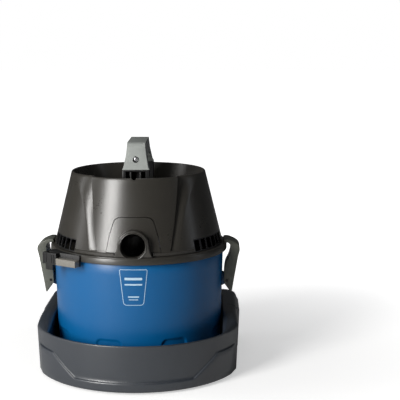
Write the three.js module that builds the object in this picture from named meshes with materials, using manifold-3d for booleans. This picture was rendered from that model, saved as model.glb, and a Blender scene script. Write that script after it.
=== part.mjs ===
// Shop vacuum with a lift-off tank and a base tray, in millimetres, +Z up.
// The origin is on the floor under the centre of the footprint. -Y is the front, +X the right side.
// An azimuth is counted from the front towards +X.
import * as THREE from "three";
import { mergeVertices } from "three/addons/utils/BufferGeometryUtils.js";
import Module from "manifold-3d";

const wasm = await Module();
wasm.setup();

// ---------- driving dimensions ----------

const GAP = 0.3; // clearance between pieces that touch on the real object
const RUNNING = 0.35; // radial clearance of pins and shafts in their holes
const FACETS = 56; // facets round the large turned shells
const SMALL_FACETS = 16; // facets round pins, screws and bores
const BEYOND = 300; // further out than every piece, for tools that cut right through

const tray = {
  tankRoom: 5, // from the tank's bottom radius to the side of the opening
  wingWidth: 28,
  frontRoom: 38, // from the tank's bottom radius to the front wall
  frontWall: 4,
  backRoom: 11,
  backWall: 6,
  rearCorner: 24,
  openCorner: 42,
  skirtZ: 4,
  floorZ: 8,
  lipZ: 86,
  wingZ: 102,
  dipZ: 76,
  dipHalfWidth: 125,
  draft: 0.02,
  apronProud: 2,
  apronZ: 21,
  cheekZ: 57,
  padHalfWidth: 22,
  padZ: 40,
  padAzimuth: 22,
  padProud: 4.5,
  wall: 3.5,
  grooveY: 30,
};
const foot = { radius: 10, inset: 58, frontShare: 0.48, backInset: 37 };
const tank = {
  height: 212.5,
  bottomRadius: 148,
  topRadius: 153.4,
  edgeRadius: 18,
  wall: 4,
  panels: 8,
  panelTurn: 5,
  panelTopZ: 76,
  panelBottomZ: 12,
  panelHalfTop: 24,
  panelHalfBottom: 28,
  panelDepth: 1.8,
};
const flange = {
  rimRoom: 2.1, // from the tank's rim to the inside of the flange's skirt
  thickness: 12.5,
  skirtDepth: 4.3,
  deck: 3,
  skirtWall: 4.5,
  throat: 16,
  collarDepth: 22,
};
const cone = {
  latchLedge: 7.8, // the ring of flange left free for the latch hooks
  bandStep: 1.7,
  ledgeUnder: 6.2, // how far the flange's ledge reaches under the housing
  rimRadius: 120.4,
  bandHeight: 6.2,
  baseZ: 21,
  rimZ: 143,
  wall: 3.5,
  rimWidth: 3.4,
  recessZ: 103,
  recessFloor: 3,
  recessInset: 14.4,
};
const flute = {
  panelBase: 24.5,
  panelRim: 38,
  outerBase: 31,
  outerSlope: 14,
  outerSweep: 23,
  depthBase: 4,
  depthRim: 11,
  edgeShare: 0.12,
};
const arch = { halfTop: 32, halfBottom: 46, topZ: 79, corner: 12, groove: 0.8 };
const port = { radius: 23.4, wall: 1.6, z: 32.3, faceInset: 1, elbowDepth: 32.5, dropZ: -14 };
const hood = { faceInset: 2.5, wall: 3.6, halfBase: 33 };
const vent = { from: 43.6, slots: 6, pitch: 6.3, slot: 4.4, lowZ: 13.4, highZ: 35 };
const bracket = {
  azimuth: -33, // towards which its front faces
  lowX: -79, // its ends and the start of its plate, seen square to its front
  plateX: -49,
  highX: -5,
  reach: 16.2,
  lowZ: -8,
  highZ: 12,
  plateHighZ: 4,
  lipWall: 6, // in front of the slot for the wand's hook
  slotX: -64.5,
  slotHalf: 10,
  slotDepth: 8,
  tongueZ: -18,
};
const handle = {
  height: 46,
  gripThick: 25,
  halfTop: 16,
  halfFoot: 24,
  footY: 73,
  shoulderY: 54,
  legThick: 17,
  screwHeight: 17,
};
const bridge = { height: 48.4, halfWidth: 24, halfLength: 72, postLength: 24, base: 10, windowHalf: 17, windowSill: 12 };
const latch = {
  width: 44,
  pivotZ: -57,
  pinRadius: 2.5,
  lugHalf: 9, // half width of the tank's lug between the lever's cheeks
  lugGap: 0.6,
  lugRadius: 7,
  lugFoot: 13,
  hookInset: 6.1, // how far the hook reaches in over the flange
  hookThick: 6.2,
  reach: 24, // how far the lever stands out from the flange
};
const clip = { width: 36, pivotZ: 60, topZ: 101, pinRadius: 2, springRadius: 3.6, springHalf: 10 };
const fan = { housingRadius: 64, housingTop: 31, wheelRadius: 54, wheelLow: 13, wheelHigh: 26, blades: 9 };
const motor = { radius: 42, lowZ: 32, highZ: 92, shaft: 4, coreRadius: 24, statorInner: 25.2, statorOuter: 37 };
const float = {
  ballShare: 0.339, // radii as shares of the filter collar's radius
  innerShare: 0.387,
  outerShare: 0.452,
  rimShare: 0.677,
  ballZ: -48,
  floorZ: -70,
  bars: 6,
};
const filter = {
  ductRoom: 6.6, // from the inlet duct to the pleats
  pleatDepth: 20,
  core: 5.4,
  collarRoom: 0.6,
  topZ: -4,
  bottomZ: -150,
  pleats: 24,
  capThick: 6,
};
const rocker = { x: 66, halfX: 7.6, halfY: 12, tilt: 8, z: 105 };
const gland = { z: 60, radius: 9, bore: 4.2 };

// Sizes that follow from the ones above.
tray.openHalfWidth = tank.bottomRadius + tray.tankRoom;
tray.halfWidth = tray.openHalfWidth + tray.wingWidth;
tray.openFrontRadius = tank.bottomRadius + tray.frontRoom;
tray.frontRadius = tray.openFrontRadius + tray.frontWall;
tray.openBackY = tank.bottomRadius + tray.backRoom;
tray.backY = tray.openBackY + tray.backWall;
flange.radius = tank.topRadius + flange.rimRoom + flange.skirtWall;
cone.bandRadius = flange.radius - cone.latchLedge;
cone.baseRadius = cone.bandRadius - cone.bandStep;
flange.ledgeInner = cone.bandRadius - cone.ledgeUnder;
cone.bandTopZ = flange.thickness + GAP + cone.bandHeight;
cone.recessRadius = cone.rimRadius - cone.recessInset;
port.faceY = port.faceInset - flange.radius;
port.elbowY = port.elbowDepth - cone.baseRadius;
filter.outer = -port.elbowY - port.radius - filter.ductRoom;
filter.valley = filter.outer - filter.pleatDepth;
filter.inner = filter.valley - filter.core;
flange.collarRadius = filter.inner - filter.collarRoom;
float.ballRadius = float.ballShare * flange.collarRadius;
float.cageInner = float.innerShare * flange.collarRadius;
float.cageOuter = float.outerShare * flange.collarRadius;
float.cageRim = float.rimShare * flange.collarRadius;
hood.faceY = hood.faceInset - flange.radius;
hood.radius = port.radius + hood.wall;
hood.footZ = flange.thickness + 0.4;
latch.pivotX = flange.radius;
latch.hookInner = flange.radius - latch.hookInset;
handle.footZ = cone.recessZ + bridge.height + 2 * GAP;
handle.topZ = handle.footZ + handle.height;
handle.screwZ = handle.footZ + handle.screwHeight;
foot.x = tray.halfWidth - foot.inset;
foot.yFront = -foot.frontShare * tray.frontRadius;
foot.yBack = tray.backY - foot.backInset;
const tankBase = tray.floorZ + GAP;
const tankLip = 2.5; // how far the tank's rim reaches up inside the flange's skirt
const deckZ = tankBase + tank.height - tankLip; // underside of the flange's skirt
const coneSlope = (cone.baseRadius - cone.rimRadius) / (cone.rimZ - cone.baseZ);
const clipBackY = tray.backY + 11;
const footprintCentreY = (clipBackY - tray.frontRadius) / 2;

// ---------- shape helpers ----------

const rad = THREE.MathUtils.degToRad;
const lerp = THREE.MathUtils.lerp;

// A closed geometry as a manifold-3d solid, turned outwards if its faces point in.
function solid(geometry) {
  const plain = geometry.clone();
  plain.deleteAttribute("normal");
  plain.deleteAttribute("uv");
  const merged = mergeVertices(plain, 1e-4);
  const index = merged.index.array;
  const kept = [];
  for (let i = 0; i < index.length; i += 3) {
    const [a, b, c] = [index[i], index[i + 1], index[i + 2]];
    if (a !== b && b !== c && c !== a) kept.push(a, b, c);
  }
  const build = (triVerts) =>
    new wasm.Manifold(
      new wasm.Mesh({
        numProp: 3,
        vertProperties: Float32Array.from(merged.attributes.position.array),
        triVerts: Uint32Array.from(triVerts),
      }),
    );
  const made = build(kept);
  if (made.volume() >= 0) return made;
  const flipped = [];
  for (let i = 0; i < kept.length; i += 3) flipped.push(kept[i], kept[i + 2], kept[i + 1]);
  return build(flipped);
}

function geometryOf(made) {
  const mesh = made.getMesh();
  const positions = new Float32Array(mesh.numVert * 3);
  for (let i = 0; i < mesh.numVert; i++) {
    positions.set(mesh.vertProperties.subarray(i * mesh.numProp, i * mesh.numProp + 3), i * 3);
  }
  const geometry = new THREE.BufferGeometry();
  geometry.setAttribute("position", new THREE.BufferAttribute(positions, 3));
  geometry.setIndex(new THREE.BufferAttribute(Uint32Array.from(mesh.triVerts), 1));
  geometry.computeVertexNormals();
  return geometry;
}

const join = (first, ...others) => others.reduce((sum, next) => sum.add(next), first);
const cut = (first, ...others) => others.reduce((rest, next) => rest.subtract(next), first);

// A profile of [radius, z] points turned about Z. It closes on itself, or on the axis.
function lathe(profile, facets = FACETS) {
  const points = profile.map(([r, z]) => new THREE.Vector2(r, z));
  const onAxis = profile[0][0] === 0 && profile[profile.length - 1][0] === 0;
  if (!onAxis) points.push(points[0].clone());
  return new THREE.LatheGeometry(points, facets).rotateX(Math.PI / 2);
}
const turned = (profile, facets) => solid(lathe(profile, facets));

// A ring or a disc between two radii and two heights.
function ring(inner, outer, low, high, facets = 32) {
  if (inner === 0) return turned([[0, low], [outer, low], [outer, high], [0, high]], facets);
  return turned([[inner, low], [outer, low], [outer, high], [inner, high]], facets);
}

function shapeOf(points) {
  return new THREE.Shape(points.map(([u, v]) => new THREE.Vector2(u, v)));
}

// Prisms from an outline in plan (x, y), seen from the front (x, z) or from the side (y, z).
function extruded(shape, depth, matrix) {
  const settings = { depth, bevelEnabled: false, curveSegments: 10 };
  return solid(new THREE.ExtrudeGeometry(shape, settings).applyMatrix4(matrix));
}
function planPrism(shape, low, high) {
  return extruded(shape, high - low, new THREE.Matrix4().makeTranslation(0, 0, low));
}
function frontPrism(shape, low, high) {
  const turn = new THREE.Matrix4().makeBasis(
    new THREE.Vector3(1, 0, 0),
    new THREE.Vector3(0, 0, 1),
    new THREE.Vector3(0, -1, 0),
  );
  return extruded(shape, high - low, turn.setPosition(0, high, 0));
}
function sidePrism(shape, low, high) {
  const turn = new THREE.Matrix4().makeBasis(
    new THREE.Vector3(0, 1, 0),
    new THREE.Vector3(0, 0, 1),
    new THREE.Vector3(1, 0, 0),
  );
  return extruded(shape, high - low, turn.setPosition(low, 0, 0));
}

function box([x0, y0, z0], [x1, y1, z1]) {
  const geometry = new THREE.BoxGeometry(x1 - x0, y1 - y0, z1 - z0);
  return solid(geometry.translate((x0 + x1) / 2, (y0 + y1) / 2, (z0 + z1) / 2));
}

// A cylinder along Y or X through a point given by its two other coordinates.
function rodY(radius, low, high, x, z, facets = SMALL_FACETS) {
  const geometry = new THREE.CylinderGeometry(radius, radius, high - low, facets);
  return solid(geometry.translate(x, (low + high) / 2, z));
}
function rodX(radius, low, high, y, z, facets = SMALL_FACETS) {
  const geometry = new THREE.CylinderGeometry(radius, radius, high - low, facets).rotateZ(Math.PI / 2);
  return solid(geometry.translate((low + high) / 2, y, z));
}
function rodZ(radius, low, high, x, y, facets = SMALL_FACETS) {
  const geometry = new THREE.CylinderGeometry(radius, radius, high - low, facets).rotateX(Math.PI / 2);
  return solid(geometry.translate(x, y, (low + high) / 2));
}

// Copies of a solid: moved by a matrix, or with every point moved by a function.
const placed = (made, matrix) => solid(geometryOf(made).applyMatrix4(matrix));
function reshaped(made, move) {
  const geometry = geometryOf(made);
  const at = geometry.attributes.position;
  const point = new THREE.Vector3();
  for (let i = 0; i < at.count; i++) {
    point.fromBufferAttribute(at, i);
    move(point);
    at.setXYZ(i, point.x, point.y, point.z);
  }
  return solid(geometry);
}
const spun = (made, azimuth) => placed(made, new THREE.Matrix4().makeRotationZ(rad(azimuth)));
const mirroredX = (made) => placed(made, new THREE.Matrix4().makeScale(-1, 1, 1));
const mirroredY = (made) => placed(made, new THREE.Matrix4().makeScale(1, -1, 1));
const shifted = (made, x, y, z) => placed(made, new THREE.Matrix4().makeTranslation(x, y, z));

function arcPoints(cx, cy, radius, from, to, steps) {
  const points = [];
  for (let i = 0; i <= steps; i++) {
    const a = rad(lerp(from, to, i / steps));
    points.push([cx + radius * Math.cos(a), cy + radius * Math.sin(a)]);
  }
  return points;
}

// ---------- materials ----------

function material(color, roughness, metalness = 0) {
  return new THREE.MeshStandardMaterial({ color, roughness, metalness });
}
const finish = {
  charcoal: material(0x3b3a38, 0.4),
  tankBlue: material(0x2a6ea6, 0.42),
  handleGrey: material(0x9fa3a1, 0.5),
  latchGrey: material(0x6e706b, 0.45),
  black: material(0x161616, 0.5),
  traySlate: material(0x3c4147, 0.6),
  rubber: material(0x1c1c1c, 0.85),
  steel: material(0xb8babd, 0.3, 1),
  copper: material(0xa4613a, 0.35, 1),
  paper: material(0xe6e2d6, 0.9),
  white: material(0xdedfdc, 0.6),
};

const part = (name, made, look) => {
  const mesh = new THREE.Mesh(geometryOf(made), finish[look]);
  mesh.name = name;
  return mesh;
};

// ---------- base tray ----------

// Plan outline: a round front, straight sides and a straight back with rounded corners.
function trayPlan(halfWidth, frontRadius, backY, corner) {
  const edge = THREE.MathUtils.radToDeg(Math.asin(halfWidth / frontRadius));
  return shapeOf([
    ...arcPoints(0, 0, frontRadius, -90 - edge, -90 + edge, 30),
    ...arcPoints(halfWidth - corner, backY - corner, corner, 0, 90, 5),
    ...arcPoints(corner - halfWidth, backY - corner, corner, 90, 180, 5),
  ]);
}

// The tray's walls lean outwards a little as they rise.
function drafted(made) {
  return reshaped(made, (v) => {
    const scale = 1 - tray.draft * (1 - v.z / tray.lipZ);
    v.x *= scale;
    v.y *= scale;
  });
}

// The space above the rim: level over the front lip, higher over the wings.
function aboveRim() {
  const side = new THREE.Shape();
  const front = tray.frontRadius;
  side.moveTo(-2 * front, tray.lipZ);
  side.lineTo(-0.674 * front, tray.lipZ);
  side.bezierCurveTo(-0.37 * front, tray.lipZ, -0.316 * front, tray.wingZ, 0, tray.wingZ);
  side.lineTo(BEYOND, tray.wingZ);
  side.lineTo(BEYOND, BEYOND);
  side.lineTo(-BEYOND, BEYOND);
  return sidePrism(side, -BEYOND, BEYOND);
}

// The low middle of the back wall.
function backDip() {
  const w = tray.dipHalfWidth;
  const dip = new THREE.Shape();
  dip.moveTo(-w, tray.wingZ + 0.5);
  dip.bezierCurveTo(-w * 0.62, tray.wingZ, -w * 0.5, tray.dipZ, 0, tray.dipZ);
  dip.bezierCurveTo(w * 0.5, tray.dipZ, w * 0.62, tray.wingZ, w, tray.wingZ + 0.5);
  dip.lineTo(w, BEYOND);
  dip.lineTo(-w, BEYOND);
  return frontPrism(dip, tray.openBackY / 2, BEYOND);
}

// The raised lower apron: low across the front, stepping up towards the sides.
function apron() {
  const side = tray.halfWidth - 18;
  const outline = shapeOf([
    [-side, tray.skirtZ],
    [side, tray.skirtZ],
    [side + 4, tray.cheekZ],
    [side * 0.84, tray.cheekZ],
    [side * 0.613, tray.apronZ],
    [-side * 0.613, tray.apronZ],
    [-side * 0.84, tray.cheekZ],
    [-side - 4, tray.cheekZ],
  ]);
  const grown = trayPlan(
    tray.halfWidth + tray.apronProud,
    tray.frontRadius + tray.apronProud,
    tray.backY,
    tray.rearCorner,
  );
  return planPrism(grown, tray.skirtZ, tray.cheekZ + 3).intersect(frontPrism(outline, -BEYOND, -20));
}

// A rear cheek that bulges from the side wall behind the vertical groove.
function cheek() {
  const x = tray.halfWidth - 2;
  const bulge = shapeOf([
    [x - 4, tray.grooveY + 10],
    [x + 4, tray.grooveY + 16],
    [x + 6, (tray.grooveY + tray.backY) / 2 - 5],
    [x + 4, tray.backY - 27],
    [x - 4, tray.backY - 19],
  ]);
  return planPrism(bulge, tray.skirtZ + 6, tray.wingZ - 7);
}

function wingPocket() {
  const inner = tray.openHalfWidth + tray.wall;
  const outer = tray.halfWidth - tray.wall - 5;
  return box([inner, -34, -1], [outer, tray.backY - 26, tray.wingZ - 10]);
}

function padOn(azimuth) {
  const inner = tray.openBackY * (1 - tray.draft) - tray.padProud;
  const pad = box(
    [-tray.padHalfWidth, inner, tray.floorZ - 1],
    [tray.padHalfWidth, tray.openBackY + 2, tray.padZ],
  );
  const shift = tray.openBackY * Math.tan(rad(azimuth)) * 0.9;
  return shifted(pad, shift, 0, 0);
}

function trayShell() {
  const outer = planPrism(
    trayPlan(tray.halfWidth, tray.frontRadius, tray.backY, tray.rearCorner),
    tray.skirtZ,
    tray.wingZ + 4,
  );
  const hollow = planPrism(
    trayPlan(tray.openHalfWidth, tray.openFrontRadius, tray.openBackY, tray.openCorner),
    tray.floorZ,
    tray.wingZ + 40,
  );
  const groove = box([tray.halfWidth - 1.6, tray.grooveY, -10], [BEYOND, tray.grooveY + 5, BEYOND]);
  const body = cut(
    join(outer, apron(), cheek(), mirroredX(cheek())),
    hollow,
    wingPocket(),
    mirroredX(wingPocket()),
    groove,
    mirroredX(groove),
  );
  const pads = [padOn(-tray.padAzimuth), padOn(tray.padAzimuth)];
  const clipSeat = clipEars();
  const shaped = cut(join(drafted(body), ...pads), aboveRim(), backDip());
  return cut(join(shaped, clipSeat), clipPinHole());
}

// Two ears behind the back wall carry the clip's pin.
function clipEars() {
  const y = tray.backY - 5;
  const ear = box([clip.width / 2 + 0.6, y, clip.pivotZ - 8], [clip.width / 2 + 5, clipBackY, clip.pivotZ + 7]);
  return join(ear, mirroredX(ear), box([-clip.width / 2 - 5, y, 46], [clip.width / 2 + 5, y + 6, 50]));
}
const clipPivotY = tray.backY + 5.5;
function clipPinHole() {
  return rodX(clip.pinRadius + RUNNING, -40, 40, clipPivotY, clip.pivotZ, 16);
}

// The sprung clip stands behind the back wall and hooks over the tank's catch.
function trayClip() {
  const y = clipPivotY;
  const profile = shapeOf([
    [y - 3.4, clip.pivotZ - 4],
    [y + 4.5, clip.pivotZ - 8],
    [y + 5, clip.pivotZ + 8],
    [y + 2.4, clip.topZ - 14],
    [y + 3, clip.topZ - 1],
    [y, clip.topZ],
    [tankBack(clip.topZ) + 1.6, clip.topZ - 1],
    [tankBack(clip.topZ) + 1.2, clip.topZ - 5],
    [tankBack(clip.topZ) + 4, clip.topZ - 8.4],
    [y - 2.2, clip.topZ - 9],
    [y - 3.2, clip.topZ - 20],
  ]);
  const body = sidePrism(profile, -clip.width / 2, clip.width / 2);
  const ribs = [0, 1, 2].map((i) => {
    const z = clip.topZ - 8 - i * 6;
    return box([-clip.width / 2 + 3, y + 1, z - 1.3], [clip.width / 2 - 3, y + 4.6, z + 1.3]);
  });
  const springRoom = rodX(clip.springRadius + 0.4, -clip.springHalf - 0.5, clip.springHalf + 0.5, y, clip.pivotZ);
  return cut(join(body, ...ribs), clipPinHole(), springRoom);
}
const tankRadiusAt = (z) =>
  lerp(tank.bottomRadius, tank.topRadius, (z - tankBase) / tank.height);
const tankBack = (z) => tankRadiusAt(z) + 1;

function clipPin() {
  const half = clip.width / 2 + 5;
  return rodX(clip.pinRadius, -half, half, clipPivotY, clip.pivotZ, 16);
}

// The coil spring round the clip's pin, as one sleeve.
function clipSpring() {
  return cut(rodX(clip.springRadius, -clip.springHalf, clip.springHalf, clipPivotY, clip.pivotZ), clipPinHole());
}

function trayParts() {
  const feet = [];
  for (const side of [-1, 1]) {
    for (const [end, y] of [["front", foot.yFront], ["rear", foot.yBack]]) {
      const name = `tray_foot_${end}_${side < 0 ? "left" : "right"}`;
      feet.push(part(name, rodZ(foot.radius, 0, tray.skirtZ - GAP, side * foot.x, y), "rubber"));
    }
  }
  return [
    part("tray_shell", trayShell(), "traySlate"),
    part("tray_clip", trayClip(), "black"),
    part("tray_clip_pin", clipPin(), "steel"),
    part("tray_clip_spring", clipSpring(), "steel"),
    ...feet,
  ];
}

// ---------- tank ----------

function tankBody() {
  const r = tank.edgeRadius;
  const t = tank.wall;
  const b = tank.bottomRadius;
  return turned([
    [0, 3],
    [112, 3],
    [116, 0],
    ...arcPoints(b - r, r, r, -90, 0, 4),
    [tank.topRadius, tank.height],
    [tank.topRadius - t, tank.height],
    ...arcPoints(b - r, r, r - t, 0, -90, 3),
    [116, 4],
    [110, 7],
    [0, 7],
  ]);
}

// One of the shallow trapezoid panels pressed into the wall near the bottom.
function tankPanel() {
  const corner = 5;
  const { panelTopZ: top, panelBottomZ: low, panelHalfTop: a, panelHalfBottom: b } = tank;
  const outline = shapeOf([
    [-b, low],
    [b, low],
    [a + 1, top - corner],
    [a - corner, top],
    [corner - a, top],
    [-a - 1, top - corner],
  ]);
  const depth = tank.panelDepth;
  const core = turned([
    [0, -5],
    [tank.bottomRadius - depth, -5],
    [tank.topRadius - depth, tank.height],
    [0, tank.height],
  ]);
  return cut(frontPrism(outline, -200, -100), core);
}

// A lug on each side of the tank stands in the latch's slot and holds its pin.
function latchLug() {
  const z = tank.height - tankLip + latch.pivotZ;
  const wallX = tank.bottomRadius + 1;
  const outline = shapeOf([
    [wallX, z - latch.lugFoot],
    ...arcPoints(latch.pivotX, z, latch.lugRadius, -70, 70, 6),
    [wallX, z + latch.lugFoot],
  ]);
  const lug = frontPrism(outline, -latch.lugHalf, latch.lugHalf);
  const hole = rodY(latch.pinRadius + RUNNING, -60, 60, latch.pivotX, z, 16);
  return cut(lug, hole);
}

// The catch under which the tray's clip hooks.
function tankCatch() {
  const z = clip.topZ - tankBase - 11.5;
  const wall = tankRadiusAt(clip.topZ);
  const profile = shapeOf([
    [wall - 3, z - 6],
    [wall + 1, z - 6],
    [wall + 3.6, z - 2],
    [wall + 3.6, z],
    [wall + 1, z + 2.4],
    [wall - 3, z + 2.4],
  ]);
  return sidePrism(profile, -14, 14);
}

function tankShell() {
  const panels = [];
  for (let i = 0; i < tank.panels; i++) {
    panels.push(spun(tankPanel(), tank.panelTurn + ((i + 0.5) * 360) / tank.panels));
  }
  const inside = ring(0, tank.topRadius - tank.wall, 10, tank.height + 20);
  const lugs = cut(join(latchLug(), mirroredX(latchLug()), tankCatch()), inside);
  return join(cut(tankBody(), ...panels), lugs);
}

function tankParts() {
  return [part("tank", tankShell(), "tankBlue")];
}

// ---------- side latches, in the flange's own height ----------

// A C-shaped lever: its hook lies on the flange and its tail hangs below the pin.
function latchLever() {
  const { pivotX: px, pivotZ: pz, hookInner, reach } = latch;
  const under = flange.thickness + 0.4;
  const top = under + latch.hookThick;
  const outline = shapeOf([
    [hookInner, under],
    [px + 2, under],
    [px + 7.5, 6],
    [px + 6, -4],
    [px + 3, -16],
    [px - 2.5, -26],
    [px - 4.6, -40],
    [px - 5.2, pz + 3],
    [px - 5.6, pz - 3],
    [px - 3, pz - 7],
    [px + 8, pz - 24],
    [px + 11, pz - 22],
    [px + 13.5, pz + 3],
    [px + 16.5, -38],
    [px + reach - 3, -7],
    [px + reach, 0],
    [px + reach - 1, 6],
    [px + reach - 9, top - 4.5],
    [px - 2, top],
    [hookInner + 1, top - 0.6],
  ]);
  const body = frontPrism(outline, -latch.width / 2, latch.width / 2);
  const slotHalf = latch.lugHalf + latch.lugGap;
  const slotX = px + latch.lugRadius + latch.lugGap;
  const slot = box([px - 30, -slotHalf, pz - 24], [slotX, slotHalf, pz + 20]);
  return cut(body, slot, rodY(latch.pinRadius + RUNNING, -60, 60, px, pz, 16));
}

function latchPin() {
  const half = latch.width / 2 - 1;
  return rodY(latch.pinRadius, -half, half, latch.pivotX, latch.pivotZ, 16);
}

function latchParts() {
  return [
    part("latch_lever_right", latchLever(), "latchGrey"),
    part("latch_lever_left", mirroredX(latchLever()), "latchGrey"),
    part("latch_pin_right", latchPin(), "steel"),
    part("latch_pin_left", mirroredX(latchPin()), "steel"),
  ];
}

// ---------- head: flange, housing and covers; z = 0 at the flange's underside ----------

const deckTop = flange.skirtDepth + flange.deck;
const portBore = port.radius - port.wall;
const portBackY = port.elbowY - 25; // where the port joins the elbow
const screwCircle = { radius: flange.ledgeInner - 10, azimuths: [38, 142, 218, 322] };

function motorBase() {
  const { radius, thickness, skirtDepth, collarRadius, collarDepth } = flange;
  const body = turned([
    [radius - flange.skirtWall, 0],
    [radius, 0],
    [radius, thickness - 1],
    [radius - 1, thickness],
    [flange.ledgeInner, thickness],
    [flange.ledgeInner, deckTop],
    [flange.throat, deckTop],
    [flange.throat, skirtDepth],
    [collarRadius - 4, skirtDepth],
    [collarRadius - 4, -collarDepth],
    [collarRadius, -collarDepth],
    [collarRadius, skirtDepth],
    [radius - flange.skirtWall, skirtDepth],
  ]);
  const screwHoles = screwCircle.azimuths.map((a) =>
    rodZ(2.4, -5, 30, screwCircle.radius * Math.sin(rad(a)), -screwCircle.radius * Math.cos(rad(a)), 12),
  );
  return cut(
    body,
    rodZ(port.radius + GAP, -5, 30, 0, port.elbowY, 32),
    rodY(port.radius + GAP, -200, port.elbowY, 0, port.z, 32),
    ...screwHoles,
  );
}

// How far the two scooped flutes beside the front panel sink into the cone.
function fluteDepth(azimuth, z) {
  const t = THREE.MathUtils.clamp((z - cone.baseZ) / (cone.rimZ - cone.baseZ), 0, 1);
  if (z < cone.baseZ - 0.5) return 0;
  const panelEdge = lerp(flute.panelBase, flute.panelRim, t);
  const outerEdge = flute.outerBase + flute.outerSlope * t + flute.outerSweep * t ** 4;
  const s = (Math.abs(azimuth) - panelEdge) / (outerEdge - panelEdge);
  if (s <= 0 || s >= 1) return 0;
  const depth = lerp(flute.depthBase, flute.depthRim, t);
  return depth * Math.min(s / flute.edgeShare, 1) * (1 - s) ** 1.4;
}

const coneRadius = (z) => cone.baseRadius - coneSlope * (z - cone.baseZ);

// The housing is a cone with an open recess in its top.
function housingShell() {
  const levels = [56, 90, 120];
  const outer = [cone.baseZ, ...levels, cone.rimZ];
  const geometry = lathe(
    [
      [0, cone.recessZ],
      [cone.recessRadius, cone.recessZ],
      [cone.recessRadius + 4, cone.recessZ + 4],
      [cone.rimRadius - cone.rimWidth, cone.rimZ - 1.5],
      [cone.rimRadius - cone.rimWidth + 0.8, cone.rimZ],
      ...outer.toReversed().map((z) => [coneRadius(z), z]),
      [cone.bandRadius, cone.bandTopZ],
      [cone.bandRadius, flange.thickness + GAP],
      [cone.bandRadius - cone.wall, flange.thickness + GAP],
      [cone.bandRadius - cone.wall, cone.bandTopZ - 1],
      ...[cone.baseZ, 56, 90].map((z) => [coneRadius(z) - cone.wall, z]),
      [coneRadius(120) - cone.wall - 1, 120],
      [cone.recessRadius + 5, cone.recessZ],
      [cone.recessRadius + 1, cone.recessZ - cone.recessFloor],
      [0, cone.recessZ - cone.recessFloor],
    ],
    64,
  );
  return reshaped(solid(geometry), (v) => {
    const r = Math.hypot(v.x, v.y);
    if (r < cone.recessRadius + 1.5) return;
    const azimuth = THREE.MathUtils.radToDeg(Math.atan2(v.x, -v.y));
    const scale = (r - fluteDepth(azimuth, v.z)) / r;
    v.x *= scale;
    v.y *= scale;
  });
}

// The cone's wall as a plain shell, from which covers and grilles are cut.
function coneShell(low, high, outset = 0, thickness = cone.wall) {
  return turned(
    [
      [coneRadius(low) + outset - thickness, low],
      [coneRadius(low) + outset, low],
      [coneRadius(high) + outset, high],
      [coneRadius(high) + outset - thickness, high],
    ],
    64,
  );
}

function archOutline(inset) {
  const { halfTop, halfBottom, topZ, corner } = arch;
  const low = cone.bandTopZ + 1 + inset * 0.5;
  return shapeOf([
    [inset - halfBottom, low],
    [halfBottom - inset, low],
    [halfTop - inset + 3, topZ - inset - corner],
    ...arcPoints(halfTop - inset - corner + 2, topZ - inset - corner, corner, 15, 90, 5),
    ...arcPoints(-halfTop + inset + corner - 2, topZ - inset - corner, corner, 90, 165, 5),
    [inset - halfTop - 3, topZ - inset - corner],
  ]);
}

function hoodOutline(grow) {
  return shapeOf([
    [-hood.halfBase - grow, hood.footZ],
    [hood.halfBase + grow, hood.footZ],
    [hood.radius + grow + 0.4, port.z - 4],
    ...arcPoints(0, port.z, hood.radius + grow, 0, 180, 12),
    [-hood.radius - grow - 0.4, port.z - 4],
  ]);
}

function frontCover() {
  const plate = coneShell(cone.baseZ - 4, 90, 0.6).intersect(frontPrism(archOutline(arch.groove), -200, -100));
  const block = frontPrism(hoodOutline(0), hood.faceY, portBackY);
  const seat = turned([[0, 0], [coneRadius(0) - cone.wall, 0], [coneRadius(90) - cone.wall, 90], [0, 90]], 64);
  const shaped = join(plate, cut(block, seat));
  return cut(shaped, rodY(port.radius + GAP, -200, -100, 0, port.z, 32));
}

// A window between two azimuths, for a vent grille or with a margin for its opening.
function ventSector(low, high, margin) {
  const from = vent.from - margin;
  const to = vent.from + vent.slots * vent.pitch + margin;
  const outline = shapeOf([
    ...arcPoints(0, 0, 175, from - 90, to - 90, 12),
    ...arcPoints(0, 0, 120, to - 90, from - 90, 12),
  ]);
  return planPrism(outline, low, high);
}

function ventGrille() {
  const zone = ventSector(vent.lowZ, vent.highZ, 0);
  const plate = coneShell(vent.lowZ, vent.highZ, -0.8, 2.6).intersect(zone);
  const slots = [];
  for (let i = 0; i < vent.slots; i++) {
    const azimuth = vent.from + (i + 0.5) * vent.pitch;
    const half = (vent.slot / 360) * Math.PI * cone.baseRadius;
    const slot = box(
      [-half, -180, vent.lowZ + 2],
      [half, -120, vent.highZ - 2],
    );
    slots.push(spun(slot, azimuth));
  }
  return cut(plate, ...slots);
}

function motorHousing() {
  const window = ventSector(vent.lowZ - GAP, vent.highZ + GAP, 0.25);
  const archHole = frontPrism(archOutline(0), -200, -100);
  const hoodHole = join(
    frontPrism(hoodOutline(GAP), -200, -100),
    box([-hood.halfBase - GAP, -200, 0], [hood.halfBase + GAP, -100, hood.footZ + GAP]),
  );
  const switchHole = box(
    [rocker.x - rocker.halfX - 3, -rocker.halfY - 3, 60],
    [rocker.x + rocker.halfX + 3, rocker.halfY + 3, 130],
  );
  const notch = rodY(4, -140, -100, 0, cone.rimZ + 0.6, 12);
  const cordHole = rodY(gland.radius - 2 + GAP, 110, 180, 0, gland.z);
  return cut(
    housingShell(),
    archHole,
    hoodHole,
    window,
    mirroredX(window),
    switchHole,
    notch,
    cordHole,
  );
}

function hosePort() {
  return cut(
    rodY(port.radius, port.faceY, portBackY - GAP, 0, port.z, 32),
    rodY(portBore, -200, -100, 0, port.z, 32),
  );
}

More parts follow.
